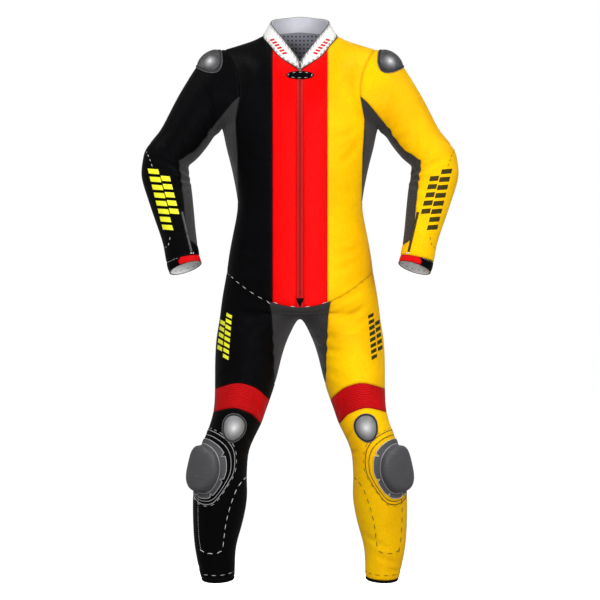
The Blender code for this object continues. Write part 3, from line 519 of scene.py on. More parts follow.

# %% [markdown]
# ## Creases
# Leather over a bent elbow can't shrink, so it folds: deep troughs fan out from the inner elbow, the
# armpit, the groin and the back of the knee, and long shallow ones run where the suit is pulled.
# Each crease here is placed one by one, with its own length, depth and width. It is a soft trough with
# a low ridge on both sides, because the leather pushed out of the trough has to go somewhere.

# %% Crease tables
SLEEVE_CREASES = (
    # row, angle at the start, row, angle at the end, width, depth
    (8.6, 4, 7.7, 122, 9, 4.2),
    (9.3, 350, 9.9, 108, 8, 3.6),
    (7.9, 20, 6.1, 112, 11, 3.0),
    (10.0, 18, 11.6, 98, 10, 2.6),
    (8.8, 8, 8.3, 246, 9, 3.8),
    (9.5, 352, 10.4, 262, 8, 3.0),
    (7.8, 350, 5.9, 256, 11, 2.6),
    (11.4, 40, 12.9, 118, 12, 1.6),
    (5.4, 30, 4.1, 122, 14, 2.0),
    (1.0, 14, 2.7, 92, 11, 3.2),
    (0.6, 34, 1.6, 104, 9, 2.4),
    (2.2, 18, 4.3, 84, 12, 2.2),
    (1.0, 345, 2.9, 262, 11, 3.0),
    (2.4, 340, 4.6, 270, 13, 1.9),
    (13.6, 28, 14.2, 132, 7, 1.5),
    (14.4, 72, 14.9, 176, 6, 1.2),
    (13.9, 205, 14.4, 300, 7, 1.4),
    (6.2, 150, 7.9, 208, 12, 1.3),
)
LEG_CREASES = (
    (7.2, 214, 7.5, 322, 10, 4.2),
    (7.9, 226, 8.1, 338, 9, 3.6),
    (8.7, 208, 8.6, 316, 9, 3.2),
    (6.4, 232, 6.1, 330, 12, 2.6),
    (9.6, 226, 9.9, 306, 11, 2.0),
    (7.4, 6, 6.7, 58, 9, 2.6),
    (8.2, 8, 8.0, 52, 8, 2.2),
    (5.6, 10, 4.6, 66, 12, 1.8),
    (0.3, 16, 0.6, 66, 11, 3.2),
    (1.1, 16, 1.9, 76, 11, 2.6),
    (2.3, 12, 3.6, 70, 13, 1.8),
    (0.2, 300, 0.9, 232, 13, 2.6),
    (1.6, 306, 2.6, 246, 12, 1.8),
    (14.2, 60, 14.8, 150, 9, 1.6),
    (15.0, 96, 15.3, 196, 7, 1.3),
    (13.0, 22, 13.9, 108, 11, 1.5),
    (14.4, 214, 14.9, 318, 9, 1.8),
    (12.6, 236, 13.2, 330, 12, 1.5),
    (3.2, 104, 4.6, 164, 15, 1.3),
)
TRUNK_CREASES = (
    # face, x, z at the start, x, z at the end, width, depth
    ("front", 176, -700, 92, -742, 11, 3.0),
    ("front", 188, -728, 118, -772, 10, 2.6),
    ("front", 168, -655, 96, -690, 12, 1.9),
    ("front", 150, -585, 84, -612, 13, 1.7),
    ("front", 160, -545, 104, -566, 12, 1.5),
    ("front", 156, -268, 104, -330, 13, 2.0),
    ("front", 150, -232, 92, -262, 12, 1.8),
    ("front", 148, -404, 92, -392, 15, 1.3),
    ("front", 110, -118, 84, -196, 14, 1.2),
    ("back", 160, -560, 66, -584, 12, 2.4),
    ("back", 168, -530, 84, -540, 11, 2.0),
    ("back", 150, -496, 50, -508, 13, 1.6),
    ("back", 164, -618, 96, -650, 12, 2.0),
    ("back", 40, -712, 150, -742, 12, 2.4),
    ("back", 150, -250, 84, -316, 14, 1.9),
    ("back", 156, -204, 92, -240, 13, 1.6),
    ("back", 60, -640, 20, -700, 12, 1.5),
)
RIGHT_SHIFT, RIGHT_SHARE = 0.22, 0.86  # the right side's creases sit a little off, and are shallower
CREASE_STEPS = 40
TROUGH = 1.5  # how much steeper than its width a trough's sides are
RIDGE, RIDGE_PLACE, RIDGE_WIDTH = 0.42, 1.35, 0.55  # height, and shares of the trough's width
RIGHT_SLIDE = 6
BOW = 0.1  # how far a trunk crease sags, as a share of its length
FAR = 400  # rays from the front and the back start here
print(len(SLEEVE_CREASES) + len(LEG_CREASES) + len(TRUNK_CREASES), "creases on each side")


# %% Press the creases into the skin
def press(skin, path, width, depth):
    """Lowers the skin along a path of points, and lifts it a little on both sides."""
    near = ((skin.points > path.min(0) - 3 * width) & (skin.points < path.max(0) + 3 * width)).all(1)
    near = np.nonzero(near)[0]
    if not len(near):
        return
    gaps = np.linalg.norm(skin.points[near, None] - path[None], axis=2)
    beside = gaps.argmin(1)
    own = near[gaps.argmin(0)]
    facing = (skin.normals[near] * skin.normals[own][beside]).sum(1)
    s = gaps.min(1) / width
    taper = np.sin(np.pi * np.clip(beside / (len(path) - 1), 0.02, 0.98)) ** 0.7
    ridge = RIDGE * np.exp(-(((s - RIDGE_PLACE) / RIDGE_WIDTH) ** 2))
    trough = -np.exp(-((TROUGH * s) ** 2)) + ridge
    skin.rise[near] += np.where(facing > 0.1, depth * taper * trough, 0)


def limb_path(table, outer, inner, crease, side):
    row, angle, end_row, end_angle = crease[:4]
    turn = (end_angle - angle + 180) % 360 - 180
    shift = RIGHT_SHIFT if side < 0 else 0
    places = []
    for s in np.linspace(0, 1, CREASE_STEPS):
        level = max(0, blend(row, end_row, s) + shift * math.sin(7 * row))
        places.append(limb_point(table, outer, inner, level, angle + turn * s))
    return np.array(places) * (side, 1, 1)


def seen_at(tree, x, z, face="front"):
    """What is seen at (x, z) from the front or from the back: the point there, and its normal."""
    way = 1 if face == "front" else -1
    return tree.ray_cast(Vector((x, -FAR * way, z)), Vector((0, way, 0)))[:2]


def trunk_path(tree, crease, side):
    face, x, z, end_x, end_z = crease[:5]
    slide = RIGHT_SLIDE * math.sin(x) if side < 0 else 0
    spots = []
    for s in np.linspace(0, 1, CREASE_STEPS):
        bow = BOW * math.hypot(end_x - x, end_z - z) * math.sin(math.pi * s)
        spots.append(seen_at(tree, side * blend(x, end_x, s), blend(z, end_z, s) + slide - bow, face)[0])
    return np.array([spot for spot in spots if spot is not None])


tree = BVHTree.FromPolygons(skin.points.tolist(), skin.faces)
for side, _ in SIDES:
    strength = RIGHT_SHARE if side < 0 else 1
    paths = [(crease, limb_path(SLEEVE_ROWS, *sleeve_edges, crease, side)) for crease in SLEEVE_CREASES]
    paths += [(crease, limb_path(LEG_ROWS, *leg_edges, crease, side)) for crease in LEG_CREASES]
    paths += [(crease, trunk_path(tree, crease, side)) for crease in TRUNK_CREASES]
    for (*_, width, depth), path in paths:
        press(skin, path, width, depth * strength)
skin.rise[collar_points] = 0
print("the creases go from", *np.round((skin.rise.min(), skin.rise.max()), 1), "mm")

# %% [markdown]
# ## Seams
# A seam is a line that someone chalks on the body: a distance from the middle, a height at each
# width, or a closed outline. Each one is written as a function that is zero on the line, so cutting
# is the same for all of them: wherever the function changes its sign across a face, the face is
# split there.

# %% Seam lines
ZIP_TAPE = 8.75
UNDERARM = (
    (159, -150), (171, -212), (169, -258), (166, -303), (165, -349), (163, -425), (200, -545), (269, -545),
    (287, -533), (295, -530), (303, -471), (307, -425), (312, -382), (317, -340), (318, -320), (277, -294),
    (256, -270), (235, -237), (207, -202), (179, -168),
)
CROTCH_EDGE = ((-690, 82), (-737, 74), (-839, 69), (-906, 67.5), (-917, 66))
KNEE_BAND_TOP = ((60, -985), (81, -952), (123, -918), (163, -908), (224, -923), (245, -931))
KNEE_BAND_FOOT = ((80, -1050), (108, -1011), (130, -989), (177, -974), (226, -984), (250, -992))
CUFF_SPLIT, CUFF_POINT, CUFF_MIDDLE = 322, 0.5, -587


def beside(limit):
    return lambda p: np.abs(p[:, 0]) - limit


def pointed(p):
    """The cuff's red band ends in a blunt point."""
    return np.abs(p[:, 0]) - CUFF_SPLIT + CUFF_POINT * np.clip(np.abs(p[:, 2] - CUFF_MIDDLE), 0, 15)


def beside_edge(table):
    edge = curve(table)
    return lambda p: np.abs(p[:, 0]) - edge(p[:, 2])


def above(table):
    line = curve(table)
    return lambda p: p[:, 2] - line(np.abs(p[:, 0]))


def outside(outline):
    """The distance in the front view to a closed outline, negative within it."""

    def measure(p):
        x, z = np.abs(p[:, 0]), p[:, 2]
        nearest, within = np.full(len(p), np.inf), np.zeros(len(p), bool)
        for (ax, az), (bx, bz) in zip(outline, outline[1:] + outline[:1]):
            dx, dz = bx - ax, bz - az
            t = np.clip(((x - ax) * dx + (z - az) * dz) / (dx * dx + dz * dz), 0, 1)
            nearest = np.minimum(nearest, np.hypot(x - ax - t * dx, z - az - t * dz))
            if dz:
                within ^= ((az > z) != (bz > z)) & (x < ax + (z - az) / dz * dx)
        return np.where(within, -nearest, nearest)

    return measure


SEAMS = {
    # in the order of cutting, name: (the line's function, the parts of the skin that it cuts)
    "centre": (beside(CENTRE_PANEL), ("body",)),
    "tape": (beside(ZIP_TAPE), ("body front",)),
    "underarm": (outside(UNDERARM), ("body", "sleeve")),
    "crotch_edge": (beside_edge(CROTCH_EDGE), ("hip front", "leg")),
    "band_top": (above(KNEE_BAND_TOP), ("leg front",)),
    "band_foot": (above(KNEE_BAND_FOOT), ("leg front",)),
    "split": (pointed, ("cuff",)),
}
inside = -float(SEAMS["underarm"][0](np.array([ARMPIT]))[0])
print("the armpit is", round(inside), "mm inside the stretch panel")


# %% Cutting faces
SNAP = 0.25  # a point this near a line, in millimetres, counts as on it
HALVINGS = 14


def pairs(face):
    return zip(face, face[1:] + face[:1])


def averages(values, faces):
    """The mean of the points' values over each face."""
    sizes = np.array([len(face) for face in faces])
    corners = np.fromiter((v for face in faces for v in face), int, sizes.sum())
    return np.add.reduceat(values[corners], np.cumsum(sizes) - sizes) / sizes[:, None]


def two_sides(around, signs):
    """Two faces, one on each side of the zeros, or the whole face unless the line crosses it once."""
    turns = []
    for k in range(len(around)):
        if signs[k] == 0 and signs[k - 1] != 0:
            ahead = [sign for sign in signs[k:] + signs[:k] if sign]
            if ahead[0] == -signs[k - 1]:
                turns.append(k)
    if len(turns) != 2:
        return [around]
    a, b = turns
    return [around[a : b + 1], around[b:] + around[: a + 1]]


def divide(faces, value, chosen, make):
    """Splits chosen faces where value changes sign, in a list of (face, number of the face it was).

    make(edges) gives the number of the new point on each edge that is crossed."""
    sign = np.sign(np.where(np.abs(value) < SNAP, 0, value)).astype(int).tolist()
    edges = ((a, b) for k in chosen for a, b in pairs(faces[k]) if sign[a] * sign[b] < 0)
    crossed = list(dict.fromkeys((min(edge), max(edge)) for edge in edges))
    cuts = dict(zip(crossed, make(crossed)))
    sign += [0] * len(cuts)
    ends = {v for edge in cuts for v in edge}
    chosen, result = set(chosen), []
    for k, face in enumerate(faces):
        around = face
        if any(v in ends for v in face):
            around = []
            for a, b in pairs(face):
                around += [a] + [cuts[edge] for edge in ((min(a, b), max(a, b)),) if edge in cuts]
            around = tuple(around)
        signs = [sign[v] for v in around]
        if k in chosen and 1 in signs and -1 in signs:
            result += [(part, k) for part in two_sides(around, signs)]
        else:
            result.append((around, k))
    return result


def cutter(held, own, share_of):
    """Makes the points of a cut, for divide: share_of(a, b) says how far each is from a towards b.

    held is a skin or a panel, and own the value that it keeps for each point beside the normal."""

    def make(edges):
        if not edges:
            return []
        a, b = (np.array(ends) for ends in zip(*edges))
        share, first = share_of(a, b), len(held.points)
        for field in ("points", "normals", own):
            old = getattr(held, field)
            new = blend(old[a].T, old[b].T, share).T
            if field == "normals":
                new = new / np.linalg.norm(new, axis=1)[:, None]
            setattr(held, field, np.concatenate((old, new)))
        return list(range(first, len(held.points)))

    return make


def cut(skin, line, starts):
    """Cuts the skin's faces of these parts along line(points) = 0."""
    chosen = [k for k, part in enumerate(skin.parts) if part.startswith(starts)]
    used = np.unique([v for k in chosen for v in skin.faces[k]])
    value = np.zeros(len(skin.points))
    value[used] = line(skin.points[used])

    def share_of(a, b):
        low, high = np.zeros(len(a)), np.ones(len(a))
        for _ in range(HALVINGS):
            middle = (low + high) / 2
            there = line(blend(skin.points[a], skin.points[b], middle[:, None]))
            same = there * value[a] > 0
            low, high = np.where(same, middle, low), np.where(same, high, middle)
        return (low + high) / 2

    divided = divide(skin.faces, value, chosen, cutter(skin, "rise", share_of))
    skin.faces = [face for face, _ in divided]
    skin.parts = [skin.parts[k] for _, k in divided]


for line, starts in SEAMS.values():
    cut(skin, line, starts)
print("after the seams:", len(skin.faces), "faces")


# %% Sort the faces into panels
IN, OUT = -1, 1  # of a seam's line, where its function is below zero and above
PANEL_RULES = (
    # the panel, the parts of the skin where it can be, and on which side of which seam it is
    ("collar", ("collar",)),
    ("cuff_outer_", ("cuff",), OUT, "split"),
    ("cuff_inner_", ("cuff",)),
    ("hem_", ("hem",)),
    ("underarm_", ("body", "sleeve"), IN, "underarm"),
    ("sleeve_", ("sleeve",)),
    ("zip", ("body front",), IN, "tape"),
    ("front_side_", ("body front",), OUT, "centre"),
    ("front_centre_", ("body front",)),
    ("back_side_", ("body back",), OUT, "centre"),
    ("back_centre", ("body back",)),
    ("crotch", ("hip front", "leg"), IN, "crotch_edge"),
    ("thigh_front_", ("hip front", "leg front"), OUT, "band_top"),
    ("knee_band_", ("leg front",), OUT, "band_foot"),
    ("shin_front_", ("leg front",)),
    ("leg_back_", ("hip", "leg")),
)


def panel_of(kind, letter, k):
    """The panel that holds a face: the first whose rule fits."""
    for name, starts, *side in PANEL_RULES:
        if kind.startswith(starts) and (not side or side[0] * at[side[1]][k] > 0):
            return name + letter if name.endswith("_") else name


middles = averages(skin.points, skin.faces)
at = {name: line(middles) for name, (line, _) in SEAMS.items()}
beyond = (middles[:, 2] <= CROTCH_EDGE[-1][0]) | (middles[:, 2] >= CROTCH_EDGE[0][0])
at["crotch_edge"][beyond] = OUT  # the crotch panel ends above and below
panel_faces = {}
for k, part in enumerate(skin.parts):
    panel_faces.setdefault(panel_of(*part.rsplit(" ", 1), k), []).append(skin.faces[k])
print(len(panel_faces), "panels:", {name: len(faces) for name, faces in sorted(panel_faces.items())})

# %% [markdown]
# ## Finishes
# The drawing board for a material is a graph of nodes. Written out by hand, a graph hides its
# arithmetic, so two small helpers keep it readable: `Wire` is a value on its way between nodes and
# can be added, multiplied and subtracted like a number, and `Graph.add` makes any other node from
# its type, its settings and its inputs. Patterns read the object's own coordinates, in metres.

# %% Wires and graphs
def feed(tree, socket, value):
    value = getattr(value, "socket", value)
    if isinstance(value, bpy.types.NodeSocket):
        tree.links.new(value, socket)
    else:
        socket.default_value = value


def add_node(tree, kind, settings=None, inputs=None):
    """Adds a node, its inputs given as values or as what to link, and returns its outputs."""
    node = tree.nodes.new(kind)
    for name, value in (settings or {}).items():
        setattr(node, name, value)
    for name, value in (inputs or {}).items():
        feed(tree, node.inputs[name], value)
    return node.outputs


class Wire:
    """One output socket, with arithmetic."""

    def __init__(self, graph, socket):
        self.graph, self.socket = graph, socket

    def maths(self, operation, *values):
        return self.graph.add("ShaderNodeMath", {"operation": operation}, dict(enumerate((self, *values))))

    def __add__(self, other):
        return self.maths("ADD", other)

    def __sub__(self, other):
        return self.maths("SUBTRACT", other)

    def __rsub__(self, other):
        return (self * -1) + other

    def __mul__(self, other):
        return self.maths("MULTIPLY", other)

    __radd__, __rmul__ = __add__, __mul__

    def step(self, low, high):
        """0 below low, 1 above high, and a straight ramp between."""
        return ((self - low) * (1 / (high - low))).maths("MAXIMUM", 0.0).maths("MINIMUM", 1.0)

    def wave(self, pitch):
        return (self * (math.tau / pitch)).maths("SINE")


finishes = {}


class Graph:
    """A Principled material that is being put together."""

    def __init__(self, name, colour, roughness, metallic=0.0):
        self.material = finishes[name] = bpy.data.materials.new(name)
        self.material.use_nodes = True
        self.tree = self.material.node_tree
        self.shader = self.tree.nodes["Principled BSDF"]
        self.set("Base Color", (*colour, 1))
        self.set("Roughness", roughness)
        self.set("Metallic", metallic)
        self.material.diffuse_color = (*colour, 1)
        self.place = self.add("ShaderNodeTexCoord", output="Object")

    def set(self, name, value):
        feed(self.tree, self.shader.inputs[name], value)

    def add(self, kind, settings=None, inputs=None, output=0):
        return Wire(self, add_node(self.tree, kind, settings, inputs)[output])

    def noise(self, scale, detail=3.0, distortion=0.0, place=None):
        inputs = {"Vector": place or self.place, "Scale": scale, "Detail": detail, "Distortion": distortion}
        return self.add("ShaderNodeTexNoise", None, inputs, "Fac")

    def cells(self, scale):
        return self.add("ShaderNodeTexVoronoi", None, {"Vector": self.place, "Scale": scale}, "Distance")

    def mapped(self, scale, turn=(0, 0, 0)):
        inputs = {"Vector": self.place, "Scale": scale, "Rotation": turn}
        return self.add("ShaderNodeMapping", None, inputs)

    def axes(self):
        outputs = add_node(self.tree, "ShaderNodeSeparateXYZ", None, {0: self.place})
        return [Wire(self, output) for output in outputs]

    def seam_shade_mask(self, fall):
        """1 at a panel's rim, falling by this much in each millimetre inwards: the mask of the painted shade
        in the seam valleys.
        """
        away = self.add("ShaderNodeAttribute", {"attribute_name": "away"}, output="Fac")
        return (away * -fall).maths("EXPONENT")

    def mix(self, factor, a, b):
        a, b = (colour if isinstance(colour, Wire) else (*colour, 1) for colour in (a, b))
        return self.add("ShaderNodeMix", {"data_type": "RGBA"}, {0: factor, 6: a, 7: b}, 2)

    def bump(self, height, depth, strength):
        """Adds a relief of this height pattern, depth in metres, over the reliefs added before."""
        before = self.shader.inputs["Normal"].links
        inputs = {"Height": height, "Distance": depth, "Strength": strength}
        if before:
            inputs["Normal"] = before[0].from_socket
        self.set("Normal", self.add("ShaderNodeBump", None, inputs))


def toned(colour, share):
    return tuple(min(1, v * share) for v in colour)


print("helpers for finishes are ready")

# %% [markdown]
# ### Leather
# Race leather is smooth cowhide: a fine pebble, wrinkles a few millimetres apart that catch the
# light, and slow changes of tone from hide to hide. Its colour is darkened towards the rolled seam
# edges, as painted shade in the seam valleys, and it shines a little where it is stretched. Each of
# these is a noise or a cell pattern of its own size, because a flat swatch would stretch and repeat
# on this shape.

# %% Leather finishes
PEBBLE, WRINKLE, HIDE = 520, 60, 7  # cells or waves in a metre


def leather(name, colour, roughness=0.44, edge_shade=0.55, shine=0.12, tone=0.12):
    g = Graph(name, colour, roughness)
    hide = g.noise(HIDE)
    wrinkle = (g.noise(WRINKLE, distortion=1.3) - 0.5).maths("ABSOLUTE").step(0.0, 0.09)
    pebble = g.cells(PEBBLE)
    # painted shade: the colour darkens into the seam valleys; the same mask makes the rolled edge rougher
    seam_shade = g.seam_shade_mask(0.45)
    shade = g.mix(hide.step(0.35, 0.65), toned(colour, 1 - tone), toned(colour, 1 + tone))
    # painted shade: the colour darkens along the wrinkles' creases
    shade = g.mix((1 - wrinkle) * 0.25, shade, toned(colour, 0.7))
    g.set("Base Color", g.mix(seam_shade * edge_shade, shade, toned(colour, 0.35)))
    g.set("Roughness", hide * 0.16 + pebble * 0.10 + (roughness - 0.13) + seam_shade * 0.15)
    g.bump(wrinkle, 0.0006, 0.45)
    g.bump(pebble, 0.0005, 0.35)
    g.set("Specular IOR Level", shine)


leather("black leather", (0.002, 0.002, 0.0025), 0.42, 0.3, 0.08, 0.25)
leather("red leather", (0.92, 0.0008, 0.0008))
leather("cuff leather", (0.66, 0.004, 0.006))
leather("yellow leather", (1.0, 0.515, 0.0005), edge_shade=0.42)
leather("white leather", (0.84, 0.84, 0.83), 0.45, 0.35, 0.32, 0.03)
leather("ribbed leather", (0.52, 0.003, 0.005), 0.45, 0.75, 0.15)
leather("yellow print", (0.93, 0.93, 0.03), 0.5, 0.0, 0.32, 0.03)
leather("dark print", (0.045, 0.035, 0.004), 0.5, 0.0, 0.32, 0.1)
leather("red print", (0.62, 0.02, 0.025), 0.5, 0.0, 0.32, 0.03)
print(list(finishes))

# %% [markdown]
# ### Cloths
# Three cloths show: the stretch panels under the arms and at the crotch, knitted in fine ribs that
# run down the body; the brushed facing inside the collar and the cuffs; and the mesh lining, whose
# holes stand in a square grid. The woven zip tape has a bar for each tooth. Threads and holes
# follow a rule, so waves and fractions of the coordinates draw them, and stay sharp close up.

# %% Cloth finishes
MESH_PITCH, MESH_HOLE = 0.0106, 0.0021  # metres: from hole to hole, and a hole's radius


def stretch(name, colour):
    g = Graph(name, colour, 0.88)
    x, y, z = g.axes()
    rib = (x + y * 0.6 + z * 0.18 + g.noise(14, 2.0) * 0.006).wave(0.0042)
    knit = g.cells(900)
    base = g.mix(g.noise(9).step(0.3, 0.7), toned(colour, 0.82), toned(colour, 1.2))
    base = g.mix(rib.step(-1, 1) * 0.5, toned(colour, 0.62), base)
    # painted shade: the cloth darkens towards the seam valleys
    g.set("Base Color", g.mix(g.seam_shade_mask(0.4) * 0.5, base, toned(colour, 0.3)))
    g.set("Roughness", knit * 0.2 + 0.78)
    g.bump(rib, 0.0009, 0.5)
    g.bump(knit, 0.0005, 0.4)
    g.set("Sheen Weight", 0.15)


def facing(name, colour):
    g = Graph(name, colour, 0.9)
    nap = g.noise(420, 4.0)
    g.set("Base Color", g.mix(g.noise(22).step(0.3, 0.7), toned(colour, 0.9), toned(colour, 1.06)))
    g.set("Roughness", nap * 0.2 + 0.75)
    g.bump(nap, 0.0006, 0.6)


def mesh_lining(name, colour):
    g = Graph(name, colour, 0.85)
    x, _, z = g.axes()
    across, down = ((axis * (1 / MESH_PITCH) + 0.5).maths("FRACT") - 0.5 for axis in (x, z))
    apart = (across * across + down * down).maths("SQRT") * MESH_PITCH
    solid = apart.step(MESH_HOLE - 0.0003, MESH_HOLE + 0.0003)
    fine = g.cells(1100)
    weave_and_painted_light = g.mix(fine.step(0.1, 0.6), toned(colour, 0.75), toned(colour, 1.25))
    # painted light: the mesh is lighter lower down, lifting the shade that falls inside the neck behind the
    # collar's front
    weave_and_painted_light = g.mix(z.step(-0.06, 0.04), toned(colour, 2.2), weave_and_painted_light)
    g.set("Base Color", g.mix(solid, (0.004, 0.004, 0.006), weave_and_painted_light))
    g.set("Roughness", fine * 0.2 + 0.75)
    g.bump(solid, 0.0012, 0.8)
    g.bump(fine, 0.0004, 0.4)


def woven(name, colour):
    g = Graph(name, colour, 0.7)
    x, _, z = g.axes()
    bar, cord = z.wave(0.0030), x.wave(0.0016)
    g.set("Base Color", g.mix(bar.step(-1, 1), toned(colour, 0.7), toned(colour, 1.2)))
    g.set("Roughness", bar * 0.05 + 0.68)
    g.bump(bar + cord * 0.5, 0.0004, 0.7)


stretch("stretch cloth", (0.042, 0.040, 0.042))
facing("grey facing", (0.58, 0.58, 0.64))
facing("pale lining", (0.92, 0.92, 0.94))
mesh_lining("mesh lining", (0.27, 0.27, 0.31))
facing("suede back", (0.06, 0.058, 0.055))
woven("zip tape", (0.60, 0.008, 0.009))
woven("grey tape", (0.055, 0.055, 0.055))
woven("olive tape", (0.05, 0.042, 0.01))
print(list(finishes))

# %% [markdown]
# ### Hard finishes
# The caps are pressed metal with a satin brush and scuffed on top. Their colour carries a painted
# highlight: light round one spot and darker further off. The sliders' pucks are moulded plastic with
# a fine spark texture and rub marks that run the way a knee drags on the road. A brush mark is a
# noise that a Mapping node has stretched along one axis.

# %% Metal and plastic finishes
def metal(name, rim, colour, roughness, metallic, spot, reach):
    """Brushed metal with a painted highlight: the colour within reach of a spot, the rim colour further off,
    on both sides alike.
    """
    g = Graph(name, colour, roughness, metallic)
    grain = g.noise(1.0, place=g.mapped((30, 400, 30)))
    scuff = g.noise(38, 4.0, 0.8)
    x, y, z = g.axes()
    gaps = (x.maths("ABSOLUTE") - spot[0], y - spot[1], z - spot[2])
    apart = (gaps[0] * gaps[0] + gaps[1] * gaps[1] + gaps[2] * gaps[2]).maths("SQRT")
    # painted highlight: lightest at the spot, fading to the rim colour at reach
    painted_highlight = 1 - apart.step(0.0, reach)
    painted_highlight_colour = g.mix(painted_highlight * painted_highlight, rim, colour)
    g.set("Base Color", g.mix(scuff.step(0.45, 0.75) * 0.15, painted_highlight_colour, (0.8, 0.8, 0.8)))
    g.set("Roughness", grain * 0.18 + scuff * 0.12 + (roughness - 0.14))
    g.bump(grain, 0.0002, 0.3)
    g.set("Coat Weight", 0.2)


def moulded(name, colour, roughness, rub=0.5):
    g = Graph(name, colour, roughness)
    spark = g.noise(700, 2.0)
    mark = g.noise(1.0, 4.0, 0.3, g.mapped((40, 40, 320), (0.25, 0, 0))).step(0.56, 0.72)
    g.set("Base Color", g.mix(mark * rub, colour, toned(colour, 1.9)))
    g.set("Roughness", spark * 0.14 + (roughness - 0.07) + mark * 0.12)
    g.bump(spark, 0.0003, 0.45)
    g.bump(mark, 0.0003, 0.3)


def thread(name, colour):
    g = Graph(name, colour, 0.6)
    twist = g.axes()[2].wave(0.0011)
    g.set("Base Color", g.mix(twist.step(-1, 1), toned(colour, 0.75), colour))
    g.bump(twist, 0.0002, 0.5)


# each spot is the place of a cap's painted highlight, and reach is its size
metal("gunmetal", (0.10, 0.10, 0.105), (0.95, 0.95, 0.97), 0.60, 0.55, (0.2388, -0.060, -0.0572), 0.026)
moulded("dark rim", (0.022, 0.022, 0.024), 0.45, 0.2)
metal("silver", (0.28, 0.28, 0.29), (0.96, 0.96, 0.97), 0.58, 0.45, (0.1738, -0.155, -1.026), 0.034)
moulded("hook plastic", (0.085, 0.085, 0.09), 0.6, 0.25)
moulded("puck plastic", (0.075, 0.073, 0.080), 0.42)
for name, colour in {
    "light thread": (0.72, 0.72, 0.72), "white thread": (0.95, 0.95, 0.95),
    "pale piping": (0.62, 0.62, 0.64), "dark thread": (0.02, 0.02, 0.02),
    "olive thread": (0.09, 0.068, 0.008), "black thread": (0.022, 0.022, 0.024),
    "dark teeth": (0.33, 0.010, 0.010), "light piping": (0.42, 0.42, 0.42),
    "grey piping": (0.20, 0.20, 0.21), "dark piping": (0.035, 0.03, 0.012),
    "red thread": (0.5, 0.006, 0.006), "yellow thread": (0.62, 0.34, 0.004),
}.items():
    thread(name, colour)
print(len(finishes), "finishes")

# %% [markdown]
# ## Panels
# Each panel is cut from leather 2 mm thick, and the edge is turned under before it is sewn. That is
# why a seam looks like a fine valley with a soft roll on each side, and why the middle of a panel
# stands a little proud. Here every panel is a closed shell of its own: its outer face swells by a
# crown that depends only on the distance to its rim, it dips at the rim, and it has real thickness
# behind. The distance to the rim is kept as an attribute, `away`, so that a finish can paint shade
# into the valley and a later step can run a line of stitches at a set distance from the edge.

# %% Panels and their rims
LEATHER, LINING = 2.0, 1.2  # thicknesses
HALF_GAP = 0.05  # half the gap between two panels
CROWN, CROWN_REACH = 1.6, 9.0
ROLL, VALLEY = 2.4, 0.9  # the turned edge: its width, and its depth at the seam
RIM_CUTS = (0.9, 2.4)
RIM_STEP = 1.2
SHARP = math.radians(70)


def rim_of(faces):
    """The edges that only one face uses, in that face's own direction."""
    seen = {}
    for face in faces:
        for a, b in pairs(face):
            edge = (a, b) if a < b else (b, a)
            seen[edge] = None if edge in seen else (a, b)
    return [edge for edge in seen.values() if edge]


def samples(points, edges):
    """Points close together along edges."""
    found = []
    for a, b in edges:
        count = max(1, math.ceil(float(np.linalg.norm(points[b] - points[a])) / RIM_STEP))
        found.append(blend(points[a], points[b], np.arange(count)[:, None] / count))
    return np.vstack(found)


def distances(points, targets):
    tree = KDTree(len(targets))
    for k, spot in enumerate(targets.tolist()):
        tree.insert(spot, k)
    tree.balance()
    return np.array([tree.find(spot)[2] for spot in points.tolist()])


class Panel:
    """One cut piece: its points on the skin, their normals, its faces, and the way in from its rim."""

    def __init__(self, points, normals, faces):
        used = sorted({v for face in faces for v in face})
        number = {v: k for k, v in enumerate(used)}
        self.faces = [tuple(number[v] for v in face) for face in faces]
        self.points, self.normals = points[used], normals[used]
        self.rim = rim_of(self.faces)
        self.away = distances(self.points, samples(self.points, self.rim))
        self.printed = set()

    def area(self):
        total = 0.0
        for face in self.faces:
            spots = self.points[list(face)]
            total += float(np.linalg.norm(np.cross(spots[1:-1] - spots[0], spots[2:] - spots[0]).sum(0))) / 2
        return total

    def middles(self):
        return averages(self.points, self.faces)

    def seen_from_front(self):
        return averages(self.normals, self.faces)[:, 1] < 0

    def cut_at(self, value, chosen=None):
        """Cuts the faces, all or those chosen, where value, one number for each point, is zero."""
        make = cutter(self, "away", lambda a, b: value[a] / (value[a] - value[b]))
        chosen = range(len(self.faces)) if chosen is None else chosen
        divided = divide(self.faces, value, chosen, make)
        self.printed = {k for k, (_, source) in enumerate(divided) if source in self.printed}
        self.faces = [face for face, _ in divided]

    def inward(self):
        """At each rim point, the direction along the surface that leads into the panel."""
        way = np.zeros_like(self.points)
        rim = {v for edge in self.rim for v in edge}
        for face in self.faces:
            touching = [v for v in face if v in rim]
            if touching:
                middle = self.points[list(face)].mean(0)
                for v in touching:
                    way[v] += middle - self.points[v]
        way -= self.normals * (way * self.normals).sum(1)[:, None]
        return way / np.maximum(np.linalg.norm(way, axis=1), 1e-9)[:, None]


lifted = skin.lifted()
panels = {name: Panel(lifted, skin.normals, faces) for name, faces in sorted(panel_faces.items())}
for panel in panels.values():
    for level in RIM_CUTS:
        panel.cut_at(panel.away - level)
print(len(panels), "panels,", sum(len(panel.faces) for panel in panels.values()), "faces,",
      round(sum(panel.area() for panel in panels.values()) / 1e6, 2), "square metres")

# %% [markdown]
# ## Slanted bars
# Race suits carry blocks of print down the forearms and the thighs and on the collar. Here each
# block is one or two rows of plain slanted bars. A bar is cut into its panel like a seam and its
# faces get another finish, so its edge stays sharp however close one looks.

